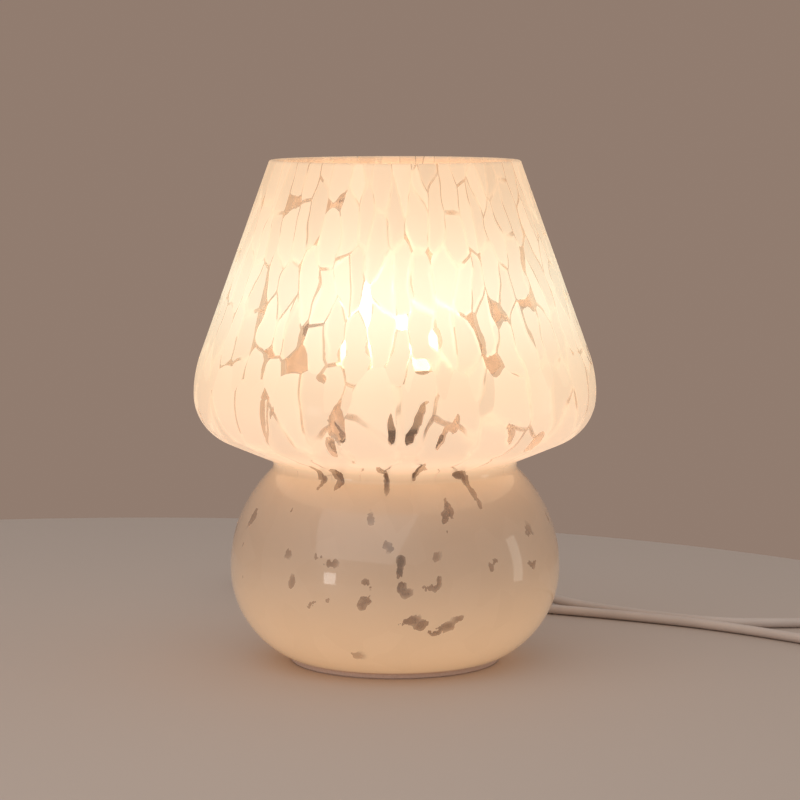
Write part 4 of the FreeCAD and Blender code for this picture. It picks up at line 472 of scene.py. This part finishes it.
def grid_mesh(name, points, attributes=()):
    """A mesh over a grid of points: rows along the first index, joined round in the second. A row whose
    points are all one point closes to a pole."""
    rows, around = points.shape[:2]
    left = np.arange(rows * around).reshape(rows, around)
    right = np.roll(left, -1, axis=1)
    faces = np.stack([left[:-1], right[:-1], right[1:], left[1:]], axis=-1).reshape(-1, 4)
    mesh = bpy.data.meshes.new(name)
    mesh.from_pydata(points.reshape(-1, 3), [], faces.tolist())
    for label, kind, values in attributes:
        layer = mesh.attributes.new(label, kind, "POINT")
        layer.data.foreach_set("vector" if kind == "FLOAT_VECTOR" else "value", values.ravel())
    whole = bmesh.new()
    whole.from_mesh(mesh)
    bmesh.ops.remove_doubles(whole, verts=whole.verts, dist=1e-7)
    whole.to_mesh(mesh)
    whole.free()
    mesh.shade_smooth()
    mesh.validate()
    return mesh


def piece(name, data, material):
    """Puts a finished mesh or curve in the scene, on the lamp's body."""
    made = bpy.data.objects.new(name, data)
    bpy.context.scene.collection.objects.link(made)
    data.materials.append(material)
    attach(made, "lamp")
    return made


def paint(material, *nodes):
    """Gives CAD nodes a finish."""
    for node in nodes:
        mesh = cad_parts[node].data
        mesh.materials.clear()
        mesh.materials.append(material)


def arc(centre, radius, start, stop, steps):
    """Points on a circle from one angle to another, start included and stop left out."""
    angle = np.linspace(start, stop, steps, endpoint=False)
    return np.stack([centre[0] + radius * np.cos(angle), centre[1] + radius * np.sin(angle)], axis=-1)


def line(start, stop, steps):
    """Points on a straight line, start included and stop left out."""
    share = np.linspace(0.0, 1.0, steps, endpoint=False)[:, None]
    return np.asarray(start) * (1 - share) + np.asarray(stop) * share


def glass_line(inset, bottom, share=1.0):
    """The wall's line from the rim down to the bottom: a straight, two arcs, a straight, the neck's arc
    and the body's two, each tangent to the next, all moved inwards by inset. Also its last point, on the
    bottom. Each run has its share of the rows it has on the outside."""

    def rows(count):
        return max(6, round(count * share))

    sin, cos = math.sin(UNDERSIDE_SLOPE), math.cos(UNDERSIDE_SLOPE)
    shoulder_mid, turn_mid = SHADE_RADIUS - SHOULDER_ARC, SHADE_RADIUS - TURN_UNDER_ARC
    upper_mid, lower_mid = BODY_RADIUS - BODY_UPPER_ARC, BODY_RADIUS - BODY_LOWER_ARC
    rise, reach = LAMP_HEIGHT - SHADE_WIDEST_Z, RIM_RADIUS - shoulder_mid
    tilt = math.atan2(rise, reach) - math.acos(SHOULDER_ARC / math.hypot(rise, reach))
    under = (turn_mid + TURN_UNDER_ARC * sin, SHADE_WIDEST_Z - TURN_UNDER_ARC * cos)
    off = NECK_ARC - (upper_mid - under[0]) * sin + (BODY_WIDEST_Z - under[1]) * cos
    along = math.sqrt((BODY_UPPER_ARC + NECK_ARC) ** 2 - off**2)
    neck = (upper_mid + off * sin + along * cos, BODY_WIDEST_Z - off * cos + along * sin)
    lean = math.atan2(neck[1] - BODY_WIDEST_Z, neck[0] - upper_mid)
    shoulder, turn, hollow = SHOULDER_ARC - inset, TURN_UNDER_ARC - inset, NECK_ARC + inset
    upper, lower = BODY_UPPER_ARC - inset, BODY_LOWER_ARC - inset
    foot = -math.asin((BODY_WIDEST_Z - bottom) / lower)
    rim = (RIM_RADIUS - inset / math.cos(tilt), LAMP_HEIGHT)
    straight_end = (shoulder_mid + shoulder * math.cos(tilt), SHADE_WIDEST_Z + shoulder * math.sin(tilt))
    under_start = (turn_mid + turn * sin, SHADE_WIDEST_Z - turn * cos)
    under_end = (neck[0] - hollow * sin, neck[1] + hollow * cos)
    runs = [
        line(rim, straight_end, rows(52)),
        arc((shoulder_mid, SHADE_WIDEST_Z), shoulder, tilt, 0.0, rows(16)),
        arc((turn_mid, SHADE_WIDEST_Z), turn, 0.0, UNDERSIDE_SLOPE - math.pi / 2, rows(22)),
        line(under_start, under_end, rows(12)),
        arc(neck, hollow, math.pi / 2 + UNDERSIDE_SLOPE, math.pi + lean, rows(12)),
        arc((upper_mid, BODY_WIDEST_Z), upper, lean, 0.0, rows(34)),
        arc((lower_mid, BODY_WIDEST_Z), lower, 0.0, foot, rows(32)),
    ]
    return np.concatenate(runs), np.array([lower_mid + lower * math.cos(foot), bottom])


def bareness(angle, height):
    """How bare the glass is of chips over a grid of angles and heights: the largest of
    k exp(-(u^2 + v^2)^2), u and v being the distances from a clear place in its half width and height.
    A place's edge is soft high on the shade, sharp low on the shade and in between on the body, and it
    leans by 0.3 sin 9a, a being its angle from the front."""
    most = np.zeros(np.broadcast(angle, height).shape)
    soft = np.where(height > 126.0, 2.2, np.where(height > 96.0, 0.5, 1.0))
    for turn, lift, ease in CLEAR_REPEATS:
        for degrees, middle, wide, high, bare in CLEAR_PLACES:
            if not 12.0 < middle + lift < 222.0:
                continue
            apart = (angle - math.radians(degrees + turn) + math.pi) % math.tau - math.pi
            over = height - middle - lift
            lean = 0.3 * math.sin(math.radians(degrees * 9.0)) * over
            far = ((apart * SHEET_RADIUS - lean) / (wide + soft)) ** 2 + (over / (high + soft)) ** 2
            most = np.maximum(most, bare * ease * np.exp(-(far**2)))
    return most


def make_glass(look):
    """The blown glass, turned about the lamp's axis: up the outside, over the rounded rim, down the
    inside. x = r sin a, y = -r cos a, z from the wall's line, a being 0 at the front."""
    outer, outer_foot = glass_line(0.0, PAD_THICKNESS)
    inner, inner_foot = glass_line(GLASS_WALL, PAD_THICKNESS + GLASS_FLOOR, 0.45)
    rim_mid, half = (outer[0, 0] + inner[0, 0]) / 2, (outer[0, 0] - inner[0, 0]) / 2
    outer_run = outer[outer[:, 1] < LAMP_HEIGHT - RIM_ROUND][::-1]
    inner_run = inner[inner[:, 1] < LAMP_HEIGHT - RIM_ROUND]
    round_over = arc((0.0, 0.0), 1.0, 0.0, math.pi, 10)
    top = np.array([rim_mid + RIM_LEAN, LAMP_HEIGHT - RIM_ROUND]) + round_over * (half, RIM_ROUND)
    foot_in = line((0.0, PAD_THICKNESS), (outer_foot[0] - FOOT_ROUND, PAD_THICKNESS), 10)
    foot_out = line((inner_foot[0], inner_foot[1]), (0.0, inner_foot[1]), 10)
    profile = np.concatenate([foot_in, outer_run, top, inner_run, foot_out, [[0.0, inner_foot[1]]]])
    run = np.concatenate([[0.0], np.cumsum(np.linalg.norm(np.diff(outer, axis=0), axis=1))])
    down = np.interp(-profile[:, 1], -outer[:, 1], run)
    face = np.concatenate([
        np.zeros(len(foot_in) + len(outer_run)), np.linspace(0, 1, len(top)),
        np.ones(len(inner_run) + len(foot_out) + 1)])
    angle = np.linspace(-math.pi, math.pi, GLASS_COLUMNS, endpoint=False)
    ring = np.stack([np.sin(angle), -np.cos(angle)], axis=-1)
    points = np.empty((len(profile), GLASS_COLUMNS, 3))
    points[..., :2] = profile[:, None, :1] * ring[None]
    points[..., 2] = profile[:, None, 1]
    chips = np.empty_like(points)
    chips[..., 0] = SHEET_RADIUS * angle[None]
    chips[..., 1] = down[:, None]
    chips[..., 2] = SHEET_RADIUS * ((angle[None] + math.tau) % math.tau - math.pi)
    bare = bareness(angle[None], profile[:, 1:])
    mesh = grid_mesh("lamp_glass", points * MM, attributes=[
        ("chip_sheet", "FLOAT_VECTOR", chips * MM), ("inner_face", "FLOAT", np.repeat(face, GLASS_COLUMNS)),
        ("bare_glass", "FLOAT", bare)])
    made = piece("lamp_glass", mesh, chipped_glass(look))
    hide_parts("glass_body")


def lead_curve(name, points, width, material):
    """A round lead along one smooth curve whose control points are given in millimetres."""
    curve = bpy.data.curves.new(name, "CURVE")
    curve.dimensions = "3D"
    curve.bevel_depth = width / 2
    curve.bevel_resolution = 6
    curve.resolution_u = 8
    curve.use_fill_caps = True
    spline = curve.splines.new("NURBS")
    spline.points.add(len(points) - 1)
    for control, place in zip(spline.points, points):
        control.co = (*[value * MM for value in place], 1.0)
    spline.order_u = 3
    spline.use_endpoint_u = True
    return piece(name, curve, material)


def coil_points():
    """Points along the coil, 16 to a turn: in at a steady pitch on the table, up a layer in the half turn
    where it reverses, and out again on top. A point's radius is raised a little, because the curve runs
    inside its control points."""
    turn = np.linspace(0.0, COIL_TURNS, round(COIL_TURNS * 16) + 1)
    past = turn - COIL_TURNS / 2
    turned = np.abs(past) < 0.25
    inwards = np.where(turned, COIL_TURNS / 2 - 0.125 - 2 * past**2, np.minimum(turn, COIL_TURNS - turn))
    share = np.clip((past + 0.25) * 2, 0.0, 1.0)
    radius = (COIL_RADIUS - COIL_PITCH * inwards) * 1.0095
    angle = math.pi - math.tau * turn
    height = COIL_LOW_Z + COIL_PITCH * share**2 * (3 - 2 * share)
    middle_x, middle_y = COIL_CENTRE
    across, along = middle_x + radius * np.cos(angle), middle_y + radius * np.sin(angle)
    return np.stack([across, along, height], axis=-1).tolist()


# --- operators ----------------------------------------------------------------------------------------


class LAMP_OT_leads(bpy.types.Operator):
    """Lay the lead from the glass to the switch, and on by way of its coil to the plug"""

    bl_idname = "lamp.leads"
    bl_label = "Leads"

    def execute(self, context):
        look = context.scene.lamp_settings
        material = sheath(look)
        route = LEAD_DROP + [(x, y, LEAD_Z) for x, y in LEAD_ON_TABLE] + LEAD_UP_TO_SWITCH
        near = lead_curve("lead_near", route, look.lead_width, material)
        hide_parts("lead_to_switch")
        [v * MM for v in route[0]]
        coil = coil_points()
        x, y, z = coil[0]
        route = LEAD_DOWN_TO_COIL + [(x + 0.5, y - 8.0, z)] + coil + PLUG_LEAD
        far = lead_curve("lead_far", route, look.lead_width, material)
        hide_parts("lead_to_coil", "lead_coil", "lead_to_plug")
        [v * MM for v in route[0]]
        paint(material, "lead_entry")
        return {"FINISHED"}


class LAMP_OT_glass(bpy.types.Operator):
    """Blow the glass shade and body, with their pattern of milk-white chips"""

    bl_idname = "lamp.glass"
    bl_label = "Glass"

    def execute(self, context):
        make_glass(context.scene.lamp_settings)
        paint(soft_pad(), "foot_pad")
        return {"FINISHED"}


class LAMP_OT_fittings(bpy.types.Operator):
    """Finish the holder, the clip, the bulb and the wires"""

    bl_idname = "lamp.fittings"
    bl_label = "Holder and bulb"

    def execute(self, context):
        black = moulded("black_plastic", (0.028, 0.028, 0.03), 0.34)
        paint(black, "holder_shell", "holder_cap", "upper_clamp_ring", "lower_clamp_ring")
        paint(metal("spring_steel", (0.60, 0.60, 0.60), 0.26, (900.0, 900.0, 60.0)), "neck_clip")
        paint(metal("zinc_plate", (0.66, 0.66, 0.64), 0.32), "threaded_nipple", "lock_nut", "switch_screws")
        paint(metal("bright_brass", (0.80, 0.60, 0.28), 0.24), "screw_shell", "centre_contact",
              "terminal_screws", "switch_contacts", "bulb_contact")
        paint(metal("cap_aluminium", (0.78, 0.78, 0.78), 0.22), "bulb_cap")
        paint(metal("board_aluminium", (0.80, 0.80, 0.79), 0.45), "led_board")
        soft = moulded("soft_sleeve", (0.78, 0.75, 0.70), 0.62, 900.0)
        paint(soft, "cord_grommet", "leg_sleeves", "rest_sleeves")
        paint(moulded("white_ceramic", (0.82, 0.80, 0.75), 0.55, 500.0, 0.00008), "contact_block")
        paint(moulded("black_insulator", (0.015, 0.015, 0.017), 0.12), "bulb_insulator")
        paint(moulded("bulb_plastic", (0.84, 0.82, 0.78), 0.40), "bulb_housing", "wire_bush")
        paint(moulded("light_source", (0.86, 0.62, 0.10), 0.35), "led_chips")
        paint(lit_globe(), "bulb_globe")
        paint(wire_colours(), "inner_wires")
        return {"FINISHED"}


class LAMP_OT_switch_and_plug(bpy.types.Operator):
    """Finish the in-line switch, the plug, their sleeves and the coil's strap"""

    bl_idname = "lamp.switch_and_plug"
    bl_label = "Switch and plug"

    def execute(self, context):
        white = (0.66, 0.60, 0.55)
        cases = moulded("switch_plastic", white, 0.30, coat=0.2)
        paint(cases, "switch_top", "switch_bottom", "switch_rocker")
        paint(moulded("plug_plastic", white, 0.38, parting=PLUG_MIDDLE_Z * MM), "plug_body")
        paint(moulded("sleeve_plastic", (0.62, 0.55, 0.50), 0.46), "switch_sleeve_lamp_side",
              "switch_sleeve_plug_side", "plug_sleeve", "coil_tie")
        paint(sleeved_pins(), "plug_pins")
        return {"FINISHED"}


class LAMP_OT_stage(bpy.types.Operator):
    """Set the pale table, the room behind it, the lights and the camera"""

    bl_idname = "lamp.stage"
    bl_label = "Stage"

    def execute(self, context):
        scene = context.scene
        table_top()
        room(scene)
        lights(scene)
        camera(scene)
        return {"FINISHED"}


def plain(name, colour):
    """A matt painted face, faintly uneven."""
    bench = Bench(name)
    cloud = bench.noise(bench.place(), 3.0, 2.0)
    return bench.finish({
        "Base Color": bench.mix(cloud, rgb([c * 0.98 for c in colour]), rgb(colour)),
        "Roughness": 0.7,
        "Specular IOR Level": 0.25,
    })


def table_top():
    """A pale round table, its edge and its top: x = cx + r cos a, y = cy + r sin a."""
    angle = np.linspace(0.0, math.tau, 256, endpoint=False)
    ring = np.stack([np.cos(angle), np.sin(angle), np.zeros_like(angle)], axis=-1)
    edge = ring * (TABLE_RADIUS + TABLE_BEVEL)
    points = np.stack([
        edge - (0, 0, TABLE_THICKNESS), edge - (0, 0, TABLE_BEVEL), ring * TABLE_RADIUS, ring * 0.0])
    points[:, :, :2] += TABLE_CENTRE
    mesh = grid_mesh("table_top", points)
    mesh.materials.append(plain("pale_table", (0.53, 0.43, 0.37)))
    made = bpy.data.objects.new("table_top", mesh)
    bpy.context.scene.collection.objects.link(made)


def room(scene):
    """Plain light from all round, and a pale wall's colour where the room itself is seen, also in
    the glass and in the metal."""
    world = bpy.data.worlds.new("room")
    scene.world = world
    world.use_nodes = True
    tree = world.node_tree
    tree.nodes.clear()
    rays = tree.nodes.new("ShaderNodeLightPath")
    seen, ending = tree.nodes.new("ShaderNodeMixShader"), tree.nodes.new("ShaderNodeOutputWorld")
    share = rays.outputs["Is Camera Ray"]
    for name in ("Is Glossy Ray", "Is Transmission Ray"):
        both = tree.nodes.new("ShaderNodeMath")
        both.operation = "MAXIMUM"
        tree.links.new(share, both.inputs[0])
        tree.links.new(rays.outputs[name], both.inputs[1])
        share = both.outputs[0]
    tree.links.new(share, seen.inputs[0])
    for slot, colour, strength in ((1, ROOM_LIGHT, ROOM_LIGHT_STRENGTH), (2, WALL_COLOUR, 1.0)):
        side = tree.nodes.new("ShaderNodeBackground")
        side.inputs["Color"].default_value = rgb(colour)
        side.inputs["Strength"].default_value = strength
        tree.links.new(side.outputs[0], seen.inputs[slot])
    tree.links.new(seen.outputs[0], ending.inputs["Surface"])


def lights(scene):
    """A wide soft panel above the front, a narrow one at the right, a small one at the left, and the
    lamp's own glow. Each panel has its name, place, aim, size, watts and colour."""
    for name, place, aim, size, power, colour in (
        ("soft_front", (-1.1, -2.0, 2.4), (0, 0, 0.1), (3.8, 3.8), 36.0, (1.0, 0.97, 0.94)),
        ("panel_right", (1.0, 0.02, 0.12), (0, 0, 0.08), (0.16, 0.5), 0.36, (1.0, 0.94, 0.80)),
        ("small_left", (-0.72, -0.75, 0.05), (0, 0, 0.05), (0.15, 0.15), 0.36, (1.0, 0.95, 0.90)),
    ):
        data = bpy.data.lights.new(name, "AREA")
        data.shape, data.size, data.size_y = "RECTANGLE", size[0], size[1]
        data.energy, data.color = power, colour
        made = bpy.data.objects.new(name, data)
        made.location = place
        made.rotation_euler = (Vector(aim) - Vector(place)).to_track_quat("-Z", "Y").to_euler()
        scene.collection.objects.link(made)
    data = bpy.data.lights.new("lamp_glow", "POINT")
    data.energy, data.color, data.shadow_soft_size = 0.30, (1.0, 0.62, 0.34), 0.05
    data.cycles.cast_shadow = False
    made = bpy.data.objects.new("lamp_glow", data)
    made.location = (0, 0, BULB_CENTRE_Z * MM)
    scene.collection.objects.link(made)


def camera(scene):
    """In front of the lamp and a little above its rim, tilted down, with a long lens."""
    data = bpy.data.cameras.new("camera")
    data.sensor_width = SENSOR_WIDTH
    data.lens = FOCAL_PIXELS * SENSOR_WIDTH / FRAME_PIXELS
    data.shift_x = SHIFT_PIXELS / FRAME_PIXELS
    made = bpy.data.objects.new("camera", data)
    made.location = CAMERA_PLACE
    made.rotation_euler = (math.pi / 2 - CAMERA_TILT, 0.0, 0.0)
    scene.collection.objects.link(made)
    scene.camera = made
    scene.view_settings.view_transform = "Standard"


class LAMP_PT_panel(bpy.types.Panel):
    """The lamp's sizes and colours, and a button for each group of pieces"""

    bl_idname = "LAMP_PT_panel"
    bl_label = "Mushroom lamp"
    bl_space_type = "VIEW_3D"
    bl_region_type = "UI"
    bl_category = "Lamp"

    def draw(self, context):
        look = context.scene.lamp_settings
        for name in LampSettings.__annotations__:
            self.layout.prop(look, name)
        for operator in OPERATORS:
            self.layout.operator(operator.bl_idname)


OPERATORS = [LAMP_OT_leads, LAMP_OT_glass, LAMP_OT_fittings, LAMP_OT_switch_and_plug, LAMP_OT_stage]


def register():
    for kind in [LampSettings, *OPERATORS, LAMP_PT_panel]:
        bpy.utils.register_class(kind)
    bpy.types.Scene.lamp_settings = PointerProperty(type=LampSettings)


def unregister():
    del bpy.types.Scene.lamp_settings
    for kind in reversed([LampSettings, *OPERATORS, LAMP_PT_panel]):
        bpy.utils.unregister_class(kind)


def main():
    """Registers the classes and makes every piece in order."""
    register()
    for operator in OPERATORS:
        group, name = operator.bl_idname.split(".")
        getattr(getattr(bpy.ops, group), name)()


if __name__ == "__main__":
    main()
